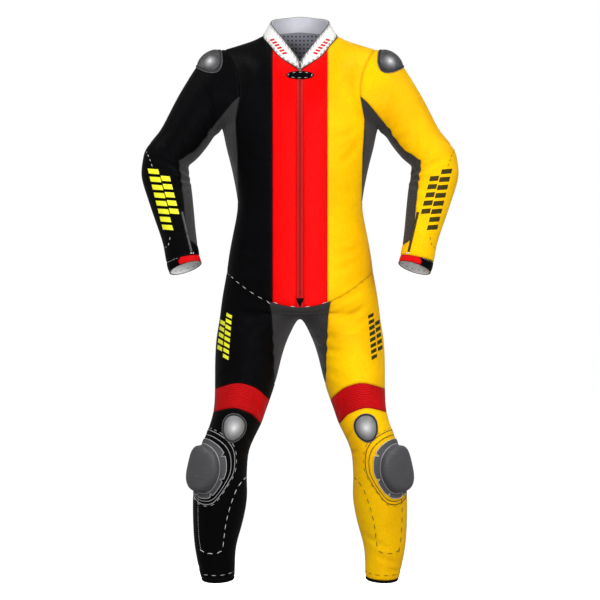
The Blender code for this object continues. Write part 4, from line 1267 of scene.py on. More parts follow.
# %% Bars on the sleeves, the thighs and the collar
BAR_ROWS = {
    # panel: rows of (x, z at the start, x, z at the end, width across, number of bars, slant)
    "sleeve": (
        (388, -343, 345, -512, 26, 8, 0.35),
        (356, -362, 328, -470, 22, 5, 0.35),
    ),
    "thigh_front": (
        (186, -726, 196, -850, 15, 8, 0.45),
        (203, -744, 212, -828, 13, 5, 0.45),
    ),
    "collar": (
        (75, 1, 36, -42, 11, 6, 0.5),
    ),
}
BAR_SHARE = 0.62  # a bar's share of the pitch
BAR_MARGIN = 4.0  # faces this near a bar are cut along its edges
PRINTS = {"sleeve_R": "yellow print", "sleeve_L": "dark print", "thigh_front_R": "yellow print",
          "thigh_front_L": "dark print", "collar": "red print"}


def bars(row):
    """The corners of a row's bars, in the front view."""
    x, z, end_x, end_z, width, count, slant = row
    along = np.array((end_x - x, end_z - z), float)
    across = np.array((along[1], -along[0])) / np.linalg.norm(along) * width / 2
    lean = along / np.linalg.norm(along) * width / 2 * slant
    for k in range(count):
        start = np.array((x, z)) + along * (k / count)
        end = start + along * (BAR_SHARE / count)
        corners = (start - across - lean, start + across + lean, end + across + lean, end - across - lean)
        yield [tuple(corner) for corner in corners]


def edge_line(a, b):
    """The signed distance in the front view to the straight line through a and b."""
    (ax, az), (bx, bz) = a, b
    long = math.hypot(bx - ax, bz - az)
    return lambda p: ((np.abs(p[:, 0]) - ax) * (bz - az) - (p[:, 2] - az) * (bx - ax)) / long


def print_bars(panel, row):
    """Cuts a row's bars into a panel's front, edge by edge, and marks their faces as printed."""
    for corners in bars(row):
        for a, b in pairs(corners):
            near = (outside(corners)(panel.middles()) < BAR_MARGIN) & panel.seen_from_front()
            panel.cut_at(edge_line(a, b)(panel.points), np.nonzero(near)[0].tolist())
        inside = (outside(corners)(panel.middles()) < 0) & panel.seen_from_front()
        panel.printed |= set(np.nonzero(inside)[0].tolist())


for name in PRINTS:
    for row in BAR_ROWS[name.removesuffix("_L").removesuffix("_R")]:
        print_bars(panels[name], row)
    print(name, "has", len(panels[name].printed), "printed faces")

# %% [markdown]
# ## Knee bands
# Above each knee the leather is sewn over elastic in narrow ribs, so that it can stretch when the
# rider crouches. The ribs sag a little in the middle and fade out before the side seams. They are
# real relief here: the band is cut along the ribs' crests, troughs and flanks, and then lifted by a
# wave. The troughs also get painted shade, by the same darkening that the seam valleys get.

# %% Rib the knee bands
RIB_PITCH, RIB_HEIGHT, RIB_FADE = 6.2, 1.5, 9.0
# painted shade in the rib troughs: how dark a trough is, and how far from a seam its darkness ends
RIB_SHADE, RIB_CLEAR = 0.4, 6.0  # a trough is as dark as the leather this far from a seam
RIB_MIDDLE, RIB_SAG = 168, 0.0075
RIB_SPAN = (112, 203)
RIB_REACH = 48  # from here outwards they run level
RIB_BEHIND, RIB_START = 60, 3.0  # where they end behind, and how soon they rise beside the rolled edge


def rib_phase(points):
    """Counts ribs upwards. The ribs turn up towards both sides."""
    off = np.minimum(np.abs(np.abs(points[:, 0]) - RIB_MIDDLE), RIB_REACH)
    return (points[:, 2] - RIB_SAG * off ** 2) / RIB_PITCH


def rib_wave(panel):
    """How far each point's ribs are formed, and how high it is on its rib, both from 0 to 1."""
    x = np.abs(panel.points[:, 0])
    inside = np.minimum(x - RIB_SPAN[0], RIB_SPAN[1] - x)
    front = panel.points[:, 1] < np.median(panel.points[:, 1]) + RIB_BEHIND
    strength = np.clip(inside / RIB_FADE, 0, 1) * np.clip((panel.away - ROLL) / RIB_START, 0, 1) * front
    return strength, 0.5 + 0.5 * np.cos(math.tau * rib_phase(panel.points))


for name in ("knee_band_L", "knee_band_R"):
    panel = panels[name]
    phase = rib_phase(panel.points)
    for level in np.arange(math.ceil(phase.min() * 4), phase.max() * 4) / 4:
        panel.cut_at((rib_phase(panel.points) - level) * RIB_PITCH)
    print(name, "has", round(float(np.ptp(phase))), "ribs and", len(panel.faces), "faces")


# %% Meshes from arrays
def new_object(name, points, faces, finish, kinds=None, away=None):
    """An object from points in millimetres. kinds gives each face's finish, counted from 0."""
    mesh = bpy.data.meshes.new(name)
    mesh.from_pydata((np.asarray(points) * MM).tolist(), [], faces)
    for each in finish if isinstance(finish, (list, tuple)) else [finish]:
        mesh.materials.append(finishes[each])
    if kinds is not None:
        mesh.polygons.foreach_set("material_index", kinds)
    if away is not None:
        mesh.attributes.new("away", "FLOAT", "POINT").data.foreach_set("value", away)
    mesh.shade_smooth()
    mesh.set_sharp_from_angle(angle=SHARP)
    return linked(name, mesh)


def shell(name, panel, outer, depth, finish, edge=0, shade=None):
    """A closed shell: the panel lifted by outer, and its back at this depth below the skin.

    finish holds the outer finish, the back's, and where the panel is printed, the print's.
    edge says which of them the cut edge has, and shade takes the place of away in the finish."""
    count = len(panel.points)
    way = panel.inward() * HALF_GAP
    front = panel.points + way + panel.normals * np.broadcast_to(outer, count)[:, None]
    back = panel.points + way - panel.normals * depth
    faces = list(panel.faces)
    kinds = [2 if k in panel.printed else 0 for k in range(len(faces))]
    faces += [tuple(v + count for v in reversed(face)) for face in panel.faces]
    kinds += [1] * len(panel.faces)
    rim = rim_of(panel.faces)
    faces += [(b, a, a + count, b + count) for a, b in rim]
    kinds += [edge] * len(rim)
    away = np.tile(panel.away if shade is None else shade, 2)
    return new_object(name, np.vstack((front, back)), faces, finish, kinds, away)


def swell(away, crown=CROWN):
    return crown * (1 - np.exp(-away / CROWN_REACH)) - VALLEY * np.clip(1 - away / ROLL, 0, 1) ** 2


# %% [markdown]
# ## Sewing on
# A panel is never a rectangle, so only the area of its cut is kept, in the table cuts.

# %% Hand a piece over
SLOTS = {
    # the record's finish, and the finishes here that are shades of it under another name
    "red_leather": ("cuff leather", "red thread"),
    "yellow_leather": ("yellow thread",),
    "black_leather": ("dark thread", "olive thread", "dark piping"),
    "grey_facing": ("pale lining",),
    "zip_tape": ("grey tape", "olive tape"),
    "hook_plastic": ("pale piping",),
    "gunmetal": ("dark rim", "grey piping", "dark teeth"),
    "silver_metal": ("silver", "light thread", "white thread", "light piping"),
}
SLOT_OF = {finish: slot for slot, names in SLOTS.items() for finish in names}
SIDE_LEATHER = {"R": "black leather", "L": "yellow leather"}
PANEL_FINISHES = {
    "back_centre": "red leather", "collar": "white leather", "crotch": "stretch cloth",
    "cuff_inner": "cuff leather", "cuff_outer": "black leather", "front_centre": "red leather",
    "hem": "black leather", "knee_band": "ribbed leather", "underarm": "stretch cloth", "zip": "zip tape",
}
cuts = {}


def slot_of(finish):
    return SLOT_OF.get(finish, finish.replace(" ", "_"))


def finish_of(name):
    """A panel's finish. Where the table has none, the right side is black and the left side yellow."""
    kind = name.removesuffix("_L").removesuffix("_R")
    return PANEL_FINISHES.get(kind) or SIDE_LEATHER[name[-1]]


def hand_over(piece, finish, node=None):
    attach(piece, "root")
    slot_of(finish)
    if node:
        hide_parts(node)


def declare_cut(piece, area):
    """Keeps the piece's area, given in square millimetres, in cuts as square metres."""
    area *= MM * MM
    cuts[piece.name] = area


print("a panel's crown 20 mm from its rim is", round(float(swell(np.array(20.0))), 2), "mm")

# %% Sew the panels on
CROWNS = {"zip tape": 0.0, "stretch cloth": 0.9}
for name, panel in panels.items():
    finish = finish_of(name)
    panel.outer, shade = swell(panel.away, CROWNS.get(finish, CROWN)), panel.away
    if name.startswith("knee_band"):
        strength, wave = rib_wave(panel)
        panel.outer += RIB_HEIGHT * strength * wave
        # painted shade in the rib troughs, given to the finish in place of away
        shade = np.minimum(panel.away, blend(RIB_FADE, RIB_SHADE + RIB_CLEAR * wave, strength))
    layers = [finish, "suede back"] + ([PRINTS[name]] if name in PRINTS else [])
    edge = int(name.startswith("back"))
    piece = shell(name + "_sewn", panel, panel.outer, LEATHER, layers, edge, shade)
    hand_over(piece, finish, name)
    declare_cut(piece, panel.area())
print(len(cuts), "panels sewn on")

# %% [markdown]
# ## Linings
# Three linings can be seen: brushed facing inside the collar, a perforated mesh inside the back,
# and pale cloth inside the cuffs. Each is a thinner shell a little behind its leather.

# %% Linings
LINING_GAP = 0.4
MESH_FOOT = -240


def lining(name, panel, finish):
    top = LEATHER + LINING_GAP
    piece = shell(name + "_sewn", panel, -top, top + LINING, [finish, finish])
    hand_over(piece, finish, name)
    declare_cut(piece, panel.area())


def joined(*names):
    return Panel(lifted, skin.normals, [face for name in names for face in panel_faces[name]])


lining("collar_facing", joined("collar"), "grey facing")
for _, letter in SIDES:
    cuff = joined("cuff_inner_" + letter, "cuff_outer_" + letter)
    lining("cuff_lining_" + letter, cuff, "pale lining")
back = joined("back_centre", "back_side_L", "back_side_R")
back.cut_at(back.points[:, 2] - MESH_FOOT)
upper = [face for face in back.faces if back.points[list(face), 2].mean() > MESH_FOOT]
lining("back_lining", Panel(back.points, back.normals, upper), "mesh lining")
print(len(cuts), "sheets in all,", round(sum(cuts.values()), 2), "square metres")

# %% [markdown]
# ## Pieces laid on the leather
# Caps, sliders, flaps and short zips all lie on a curved panel. Each one is drawn flat, as an
# outline round a middle and a profile from the middle to the edge, and is then dropped on the
# leather: a ray goes down from every point of the flat drawing, and the profile's height is added
# where it lands. A piece that looks one way uses a flat `Ground`. The sliders bend round the leg, so
# they use a `Wrap`, which unrolls the leg like paper round a tube.

# %% The leather's outer face, and grounds to draw on
HIGH = 80.0


def whole_surface():
    points, faces, first = [], [], 0
    for panel in panels.values():
        points.append(panel.points + panel.normals * panel.outer[:, None])
        faces += [tuple(v + first for v in face) for face in panel.faces]
        first += len(panel.points)
    return BVHTree.FromPolygons(np.vstack(points).tolist(), faces)


surface = whole_surface()


class Ground:
    """A flat drawing plane in front of the leather: u to the wearer's left, v up, facing outwards."""

    def __init__(self, origin, facing, up, side=1):
        flip = Vector((side, 1, 1))
        self.origin, self.side = Vector(origin) * flip, side
        self.facing = (Vector(facing) * flip).normalized()
        self.up = (Vector(up) * flip).normalized()
        self.right = self.up.cross(self.facing) * side

    def way(self, u):
        return self.facing

    def start(self, u, v):
        return self.origin + self.right * u + self.up * v + self.facing * HIGH

    def drop(self, u, v):
        """Where the point (u, v) of the drawing lands, and the way out from there."""
        way = self.way(u)
        spot = surface.ray_cast(self.start(u, v), -way)[0]
        if spot is None:
            spot = surface.find_nearest(self.start(u, v) - way * HIGH)[0]
        return np.array(spot), np.array(way)


class Wrap(Ground):
    """A drawing plane that is wound round an axis: u runs round it at this radius."""

    def __init__(self, axis, facing, radius, side=1, up=(0, 0, 1)):
        super().__init__(axis, facing, up, side)
        self.radius = radius

    def way(self, u):
        turn = Matrix.Rotation(u / self.radius * self.side, 3, self.up)
        return turn @ self.facing

    def start(self, u, v):
        return self.origin + self.up * v + self.way(u) * (self.radius + HIGH)


def path_on(ground, outline, height):
    """An outline's points on a ground, this high above the leather."""
    return [spot + way * height for spot, way in (ground.drop(u, v) for u, v in outline)]


def scaled(outline, share):
    return [(u * share, v * share) for u, v in outline]


FOOT = -0.3  # a laid piece reaches this far into the leather


def laid(name, ground, outline, profile, finish, base=FOOT):
    """A closed piece on a ground. The outline is a list of (u, v), anticlockwise round (0, 0), and
    the profile a list of (share of the way out, height) from the middle to the edge."""
    count = len(outline)
    tops, feet, away = [], [], []
    for share, height in profile:
        ring = scaled(outline, share) if share else [(0.0, 0.0)]
        tops += path_on(ground, ring, height)
        feet += path_on(ground, ring, base)
        away += [(1 - share) * math.hypot(*outline[0])] * len(ring)
    faces = []
    for k in range(count):
        after = (k + 1) % count
        faces.append((0, 1 + k, 1 + after))
        for ring in range(len(profile) - 2):
            inner, outer = 1 + ring * count, 1 + (ring + 1) * count
            faces.append((inner + k, outer + k, outer + after, inner + after))
    total = len(tops)
    last = 1 + (len(profile) - 2) * count
    faces += [tuple(v + total for v in reversed(face)) for face in faces]
    for k in range(count):
        after = last + (k + 1) % count
        faces.append((last + total + k, after + total, after, last + k))
    if ground.side < 0:
        faces = [tuple(reversed(face)) for face in faces]
    return new_object(name, np.vstack((tops, feet)), faces, finish, away=np.array(away * 2))


def lay(node, made, ground, outline, profile, finish, base=FOOT):
    """Lays a piece on a ground in a node's place. Its name says how the real one is made."""
    hand_over(laid(f"{node}_{made}", ground, outline, profile, finish, base), finish, node)


OUTLINE_STEPS = 96
TAPER_START = 24.0  # an outline tapers from this far below its middle
DOME_STEPS, DOME_POWER = 12, 0.62


def superellipse(half_width, half_height, power, count=OUTLINE_STEPS, taper=0.0):
    """An outline between an ellipse and a box, narrower below the middle where there is a taper."""
    found = []
    for k in range(count):
        c, s = math.cos(math.tau * k / count), math.sin(math.tau * k / count)
        u = half_width * math.copysign(abs(c) ** (2 / power), c)
        v = half_height * math.copysign(abs(s) ** (2 / power), s)
        drop = math.hypot(min(v, 0), TAPER_START) - TAPER_START
        found.append((u * (1 - taper * drop), v))
    return found


def dome(edge, height):
    """A profile that rises from edge at the rim to edge + height in the middle."""
    shares = [math.sin(math.pi / 2 * k / DOME_STEPS) for k in range(DOME_STEPS + 1)]
    return [(share, edge + height * max(0.0, 1 - share ** 2) ** DOME_POWER) for share in shares]


print("grounds look down from", HIGH, "mm above the leather")

# %% [markdown]
# ## Shoulder and knee caps
# A cap is a pressed dome riveted to a flat rim, over foam. On the shoulder it wraps over the ridge,
# from the front of the chest to the back of the arm. On the knee it is an egg, broad end up. The
# dome is laid on a smaller copy of its rim's outline, so the two can't drift apart.

# %% Caps
SHOULDER_CAP = {"axis": (209, 2, -91), "facing": (0.52, -0.5, 0.693), "radius": 60, "up": (-0.8, 0, 0.6)}
SHOULDER_OUTLINE = (
    (54, -8), (53, 10), (46, 25), (34, 35), (15, 38), (-8, 35), (-28, 29), (-43, 21), (-53, 9), (-56, -4),
    (-51, -18), (-38, -30), (-16, -39), (8, -42), (26, -41), (40, -35), (49, -24),
)
KNEE_CAP = {"origin": (174, -150, -1027), "facing": (0.05, -1, 0), "up": (0, 0, 1)}
KNEE_OUTLINE = (
    (31, -13), (32, 3), (30, 18), (21, 32), (5, 39), (-13, 36), (-27, 24), (-32, 9), (-29, -9), (-19, -25),
    (-6, -35), (7, -38), (22, -31),
)
RIM_THICK, RIM_WIDE = 2.6, 0.85
RIM_PROFILE = (
    (0, 2.2), (0.5, 2.2), (0.84, 2.2), (0.88, 1.9), (0.905, 2.9), (0.94, 3.1), (0.965, 2.2), (0.98, 2.0),
    (0.99, 2.6), (1.0, 1.8),
)
DOMES = {"shoulder": ("gunmetal", 7), "knee": ("silver", 10)}  # finish, height
DOME_FOOT = 1.2


def through(corners):
    """A smooth closed outline through these points."""
    spots, found = np.array(corners, float), []
    for k in range(OUTLINE_STEPS):
        place = k * len(spots) / OUTLINE_STEPS
        t = place % 1
        a, b, c, d = (spots[(int(place) + step) % len(spots)] for step in (-1, 0, 1, 2))
        bend = t * (3 * (b - c) + d - a) + 2 * a - 5 * b + 4 * c - d
        found.append(tuple(b + t / 2 * (c - a + t * bend)))
    return found


def cap_grounds(side):
    """The kind, ground and outline of each cap on one side."""
    return (
        ("shoulder", Wrap(**SHOULDER_CAP, side=side), through(SHOULDER_OUTLINE)),
        ("knee", Ground(**KNEE_CAP, side=side), through(KNEE_OUTLINE)),
    )


for side, letter in SIDES:
    for kind, ground, outline in cap_grounds(side):
        lay(f"{kind}_rim_{letter}", "pressed", ground, outline, RIM_PROFILE, "dark rim")
        finish, height = DOMES[kind]
        profile, inner = dome(RIM_THICK, height), scaled(outline, RIM_WIDE)
        lay(f"{kind}_cap_{letter}", "pressed", ground, inner, profile, finish, DOME_FOOT)
print("caps laid on")

# %% [markdown]
# ## Knee sliders
# A slider is a block of hard plastic that the rider drags over the road. It sticks to the leg with
# hook tape, so it can be replaced when it is worn through. Under it lie a soft patch edged with two
# rows of piping, and a base of hook tape whose edge is notched so that it bends round the shin. All
# three are sizes of one egg-shaped rule, so their edges run side by side.

# %% Sliders
SLIDER = {"axis": (204, -56, -1134), "facing": (0.76, -0.65, 0), "radius": 68}
EGG_POWER, EGG_TAPER = 2.5, 0.0050
PATCH_SIZE, BASE_SIZE, PUCK_SIZE = (78, 87), (67, 79), (52, 65)
NOTCHES = (31, 149, 208, 252, 288, 332)  # degrees round the base
NOTCH_WIDE, NOTCH_DEEP = 4.2, 10.0
EGG_STEPS, BASE_STEPS = 120, 288
PUCK_BASE, PUCK_FOOT, PUCK_TOP = 3.6, 4.2, 31.2
CREST, SHOULDER_DROP = 2.4, 1.2  # how far the puck's top falls away to its edge, and to its shoulder
PUCK_ROUND, PUCK_STEPS = 11.0, 7


def notched(outline):
    """Cuts small hooks into an outline at set angles."""
    found = []
    for u, v in outline:
        r, angle = math.hypot(u, v), math.degrees(math.atan2(v, u)) % 360
        off = min(abs((angle - notch + 180) % 360 - 180) for notch in NOTCHES) * math.radians(r)
        depth = NOTCH_DEEP * max(0.0, 1 - off / NOTCH_WIDE)
        found.append((u * (1 - depth / r), v * (1 - depth / r)))
    return found


def puck_profile():
    """A block with steep sides and a rounded shoulder, slightly domed on top."""
    profile = [(share, PUCK_TOP - CREST * share ** 2) for share in (0, 0.2, 0.4, 0.58)]
    for k in range(PUCK_STEPS + 1):
        a = math.pi / 2 * k / PUCK_STEPS
        height = PUCK_TOP - SHOULDER_DROP - PUCK_ROUND * (1 - math.cos(a))
        profile.append((0.70 + 0.24 * math.sin(a), height))
    sides = ((0.955, 8.0), (0.965, 4.2), (0.99, 2.6), (1.0, 1.2))
    return profile + [(share, PUCK_FOOT + height) for share, height in sides]


BASE_PROFILE = (
    (0, 4.0), (0.4, 4.0), (0.70, 4.0), (0.78, 4.0), (0.86, 4.0), (0.95, 4.0), (0.975, 4.5), (1.0, 3.7),
)
PATCH_PROFILE = ((0, 1.1), (0.4, 1.1), (0.8, 1.2), (0.93, 1.3), (0.975, 1.3), (1.0, 0.7))


def egg(size, more=0.0, crest=0.0, count=EGG_STEPS):
    """The slider's own outline, this much larger all round, and its upper half taller by crest."""
    outline = superellipse(size[0] + more, size[1] + more, EGG_POWER, count, EGG_TAPER)
    return [(u, v + max(v, 0) * crest) for u, v in outline]


base_outline = notched(egg(BASE_SIZE, count=BASE_STEPS))
for side, letter in SIDES:
    ground = Wrap(**SLIDER, side=side)
    lay(f"slider_patch_{letter}", "sewn", ground, egg(PATCH_SIZE), PATCH_PROFILE, SIDE_LEATHER[letter])
    lay(f"slider_base_{letter}", "cut", ground, base_outline, BASE_PROFILE, "hook plastic")
    name, outline = f"slider_puck_{letter}", egg(PUCK_SIZE)
    lay(name, "moulded", ground, outline, puck_profile(), "puck plastic", PUCK_BASE)
print("sliders laid on")

# %% [markdown]
# ## Flap, tab and sleeve zips
# An oval flap covers the zip's pull at the throat, so that it can't scratch the tank. A small
# triangle bars the zip's end at the waist. Each wrist has a short zip of its own. It is too long
# and narrow for rings round a middle, so it is a strip of cross-sections.

# %% Flap, tab and sleeve zips
FLAP_LEVEL, FLAP_SIZE, FLAP_POWER = -95, (36.5, 11), 2.2  # power 2 is an ellipse
FLAP_PROFILE = (
    (0, 2.6), (0.5, 2.6), (0.76, 2.5), (0.80, 2.2), (0.84, 2.4), (0.93, 2.3), (0.98, 1.8), (1.0, 1.0),
)
TAB_MIDDLE, TAB, TAB_STEP = -692.5, ((-11, 8), (0, -16), (11, 8), (-11, 8)), 1.6
TAB_PROFILE = ((0, 1.8), (0.6, 1.8), (0.88, 1.6), (1.0, 0.8))
SLEEVE_ZIP = ((311, -457), (286, -562))
ZIP_HALF, ZIP_HIGH, STRIP_STEP = 3.2, 1.2, 3
BEFORE_BODY, BEFORE_ARM = -150, -120  # where the grounds lie
BINDING_MIDDLE, BINDING_LONG, BINDING_HALF, BINDING_HIGH = -72, 11.5, 2.1, 1.0


def walked(corners, step):
    """Points about a step apart on a path from corner to corner, so that it bends with the leather."""
    for (u, v), (end_u, end_v) in zip(corners, corners[1:]):
        count = max(1, round(math.hypot(end_u - u, end_v - v) / step))
        yield from ((blend(u, end_u, k / count), blend(v, end_v, k / count)) for k in range(count))


def in_front(level):
    """A ground that looks straight at the middle of the front, at this level."""
    return Ground((0, BEFORE_BODY, level), (0, -1, 0), (0, 0, 1))


flap_outline = superellipse(*FLAP_SIZE, FLAP_POWER)
lay("zip_flap", "sewn", in_front(FLAP_LEVEL), flap_outline, FLAP_PROFILE, "black leather")
lay("zip_tab", "sewn", in_front(TAB_MIDDLE), list(walked(TAB, TAB_STEP)), TAB_PROFILE, "black leather")


def strip(name, ground, length, half, height, finish):
    """A straight band on a ground, v up and down: closed, and bent with the leather."""
    levels = np.linspace(length / 2, -length / 2, max(2, round(length / STRIP_STEP))).tolist()
    across = ((-half, FOOT), (-half, height * 0.7), (-half * 0.8, height), (half * 0.8, height),
              (half, height * 0.7), (half, FOOT))
    points = [spot for v in levels for u, h in across for spot in path_on(ground, [(u, v)], h)]
    n = len(across)
    faces = [(r * n + k, (r + 1) * n + k, (r + 1) * n + (k + 1) % n, r * n + (k + 1) % n)
             for r in range(len(levels) - 1) for k in range(n)]
    faces += [tuple(range(n)), tuple(reversed(range(len(points) - n, len(points))))]
    if ground.side < 0:
        faces = [tuple(reversed(face)) for face in faces]
    return new_object(name, points, faces, finish)


for side, letter in SIDES:
    (top_x, top_z), (foot_x, foot_z) = SLEEVE_ZIP
    up = Vector((top_x - foot_x, 0, top_z - foot_z))
    middle = ((top_x + foot_x) / 2, BEFORE_ARM, (top_z + foot_z) / 2)
    ground = Ground(middle, (0, -1, 0), up, side)
    finish = "grey tape" if side < 0 else "olive tape"
    piece = strip(f"sleeve_zip_{letter}_sewn", ground, up.length, ZIP_HALF, ZIP_HIGH, finish)
    hand_over(piece, finish, f"sleeve_zip_{letter}")
ground = in_front(BINDING_MIDDLE)
binding = strip("collar_binding", ground, BINDING_LONG, BINDING_HALF, BINDING_HIGH, "black leather")
hand_over(binding, "black leather")
print("flap, tab, zips and binding laid on")


# %% [markdown]
# ## Piping
# Two rows of piping run round each slider's patch, the base and the puck have a welded edge, and the
# caps' rims are bound. Piping is a cord inside a folded strip, so it is a tube along a path. A tree
# of Geometry Nodes sweeps a circle along every path at once.

# %% Trees of Geometry Nodes
def new_tree(name, inputs):
    """A tree with these named inputs beside its geometry, as {name: type}, and their sockets."""
    tree = bpy.data.node_groups.new(name, "GeometryNodeTree")
    for each, kind in {"Geometry": "Geometry", **inputs, "Finish": "Material"}.items():
        tree.interface.new_socket(each, in_out="INPUT", socket_type="NodeSocket" + kind)
    tree.interface.new_socket("Geometry", in_out="OUTPUT", socket_type="NodeSocketGeometry")
    return tree, add_node(tree, "NodeGroupInput")


def close_tree(tree, given, geometry):
    """The same end for every tree: real faces, shaded smooth, in the finish that was given."""
    for kind in ("GeometryNodeRealizeInstances", "GeometryNodeSetShadeSmooth"):
        geometry = add_node(tree, kind, None, {"Geometry": geometry})["Geometry"]
    inputs = {"Geometry": geometry, "Material": given["Finish"]}
    dyed = add_node(tree, "GeometryNodeSetMaterial", None, inputs)
    add_node(tree, "NodeGroupOutput", None, {"Geometry": dyed["Geometry"]})
    print("the tree of", tree.name, "has", len(tree.nodes), "nodes")
    return tree


def grown(name, paths, tree, values, closed=False):
    """Runs a tree on paths, lists of points in millimetres, and returns a plain mesh object."""
    data = bpy.data.curves.new(name + "_paths", "CURVE")
    data.dimensions = "3D"
    for path in paths:
        spline = data.splines.new("POLY")
        spline.points.add(len(path) - 1)
        spline.points.foreach_set("co", [v for spot in path for v in (*(float(w) * MM for w in spot), 1.0)])
        spline.use_cyclic_u = closed
    holder = linked(name + "_paths", data)
    grower = holder.modifiers.new("grow", "NODES")
    grower.node_group = tree
    sockets = {item.name: item.identifier for item in tree.interface.items_tree if item.in_out == "INPUT"}
    for each, value in values.items():
        grower[sockets[each]] = value
    bpy.context.view_layer.update()
    result = holder.evaluated_get(bpy.context.evaluated_depsgraph_get())
    mesh = bpy.data.meshes.new_from_object(result)
    mesh.name = name
    bpy.data.objects.remove(holder)
    return linked(name, mesh)


def piping_tree():
    tree, given = new_tree("piping", {"Radius": "Float"})
    ring = add_node(tree, "GeometryNodeCurvePrimitiveCircle", {"mode": "RADIUS"},
                    {"Resolution": 8, "Radius": given["Radius"]})
    tube = add_node(tree, "GeometryNodeCurveToMesh", None,
                    {"Curve": given["Geometry"], "Profile Curve": ring["Curve"], "Fill Caps": True})
    return close_tree(tree, given, tube["Mesh"])


piping = piping_tree()

# %% Piping round the sliders and caps
PATCH_PIPING = ((-0.5, 0.03), (8.2, 0.07))  # how far out from the patch, and how much taller above
PATCH_HIGH, EDGE_HIGH, PUCK_EDGE_HIGH = 0.5, 3.9, 4.9
PUCK_EDGE = 0.6  # how far out from the puck
CAP_EDGE = 0.985, 2.2  # share of the way out, height
PATCH_CORD, SLIDER_CORD, CAP_CORD, CUFF_CORD, COLLAR_CORD = 1.0, 0.75, 0.6, 0.8, 1.1  # radii
CUFF_END = len(SLEEVE_ROWS) - 1
RING_STEPS = 72


def piped(name, paths, radius, finish, like=None, closed=True):
    """Piping of a finish along paths. Where like is given, it is handed over in place of the finish."""
    values = {"Radius": radius * MM, "Finish": finishes[finish]}
    hand_over(grown(name, paths, piping, values, closed), like or finish)


def sleeve_ring(row, side):
    """A closed path round a sleeve at a row of its table."""
    angles = (360 * k / RING_STEPS for k in range(RING_STEPS))
    ring = [limb_point(SLEEVE_ROWS, *sleeve_edges, row, angle) for angle in angles]
    return np.array(ring) * (side, 1, 1)


for side, letter in SIDES:
    ground = Wrap(**SLIDER, side=side)
    rings = [path_on(ground, egg(PATCH_SIZE, *more), PATCH_HIGH) for more in PATCH_PIPING]
    piped(f"patch_piping_{letter}", rings, PATCH_CORD, "light piping" if side < 0 else "dark piping")
    rings = [path_on(ground, base_outline, EDGE_HIGH),
             path_on(ground, egg(PUCK_SIZE, PUCK_EDGE), PUCK_EDGE_HIGH)]
    piped(f"slider_edge_{letter}", rings, SLIDER_CORD, "pale piping")
    share, height = CAP_EDGE
    rings = [path_on(ground, scaled(outline, share), height) for _, ground, outline in cap_grounds(side)]
    piped(f"cap_edge_{letter}", rings, CAP_CORD, "grey piping")
    piped(f"cuff_binding_{letter}", [sleeve_ring(CUFF_END, side)], CUFF_CORD, "dark rim", "black leather")
print("piping laid on")

# %% [markdown]
# ## Stitches
# Every leather edge is held by a row of stitches about three millimetres from the seam, in thread
# that matches the leather. A few rows are meant to be seen: bold dashes along the waist, the collar
# and the hems, round the sliders, on the shins and down the forearms. A row is found on the panel
# itself, as the line where `away` has one value, and a tree of Geometry Nodes sets a stitch on it at
# every step.

# %% The stitch tree
def points_along(tree, given):
    return add_node(tree, "GeometryNodeCurveToPoints", {"mode": "LENGTH"},
                    {"Curve": given["Geometry"], "Length": given["Pitch"]})


def beads_on(tree, places, segments, rings):
    """A bead on each point. Places says where they are, how they turn and how large they are."""
    inputs = {"Segments": segments, "Rings": rings, "Radius": 0.5}
    bead = add_node(tree, "GeometryNodeMeshUVSphere", None, inputs)
    placed = add_node(tree, "GeometryNodeInstanceOnPoints", None, {"Instance": bead["Mesh"], **places})
    return placed["Instances"]


def stitch_tree():
    tree, given = new_tree("stitches", {"Pitch": "Float", "Length": "Float", "Width": "Float",
                                        "Sides": "Int", "Rings": "Int"})
    spots = points_along(tree, given)
    size = add_node(tree, "ShaderNodeCombineXYZ", None,
                    {"X": given["Width"], "Y": given["Width"], "Z": given["Length"]})
    places = {"Points": spots["Points"], "Rotation": spots["Rotation"], "Scale": size["Vector"]}
    return close_tree(tree, given, beads_on(tree, places, given["Sides"], given["Rings"]))


stitching = stitch_tree()


# %% Rows at a set distance from the rim
def rows_at(panel, level, height=0.25):
    """The lines on a panel's outer face where away = level, as arrays of points."""
    value = panel.away - level
    value[value == 0] = 1e-6
    joins = {}
    for face in panel.faces:
        crossed = [(min(a, b), max(a, b)) for a, b in pairs(face) if value[a] * value[b] < 0]
        if len(crossed) == 2:
            for here, there in (crossed, reversed(crossed)):
                joins.setdefault(here, []).append(there)
    outer = panel.points + panel.normals * (panel.outer + height)[:, None]
    where = {(a, b): blend(outer[a], outer[b], value[a] / (value[a] - value[b])) for a, b in joins}
    rows, left = [], set(joins)
    ends = [edge for edge in joins if len(joins[edge]) == 1]
    for first in ends + list(joins):
        if first not in left:
            continue
        row, here = [], first
        while here is not None:
            left.discard(here)
            row.append(where[here])
            here = next((there for there in joins[here] if there in left), None)
        if len(joins[first]) == 2 and len(row) > 3:
            row.append(row[0])
        rows.append(np.array(row))
    return [row for row in rows if len(row) > 3]


def kept(rows, wanted):
    """The runs of each row's points where wanted(points) holds."""
    found = []
    for row in rows:
        good = [False, *wanted(row), False]
        turns = [k for k in range(len(row) + 1) if good[k] != good[k + 1]]
        found += [row[start:end] for start, end in zip(turns[::2], turns[1::2]) if end - start > 3]
    return found


def stitched(name, rows, size, finish, like=None, sides=6, rings=6):
    """Stitches of a size, (pitch, length, width), along rows. Small ones need only a few faces."""
    values = {each: value * MM for each, value in zip(("Pitch", "Length", "Width"), size)}
    values.update({"Sides": sides, "Rings": rings, "Finish": finishes[finish]})
    piece = grown(name, rows, stitching, values)
    hand_over(piece, like or finish)
    print(name, len(rows), "rows,", len(piece.data.polygons), "faces")


WAIST_SIDE, WAIST_HALF = -615, 193  # the waist seam's level at the sides, and how far out they are
WAIST_DIP, WAIST_RISE = 94, 25  # how much lower it is in the middle in front, and higher at the back


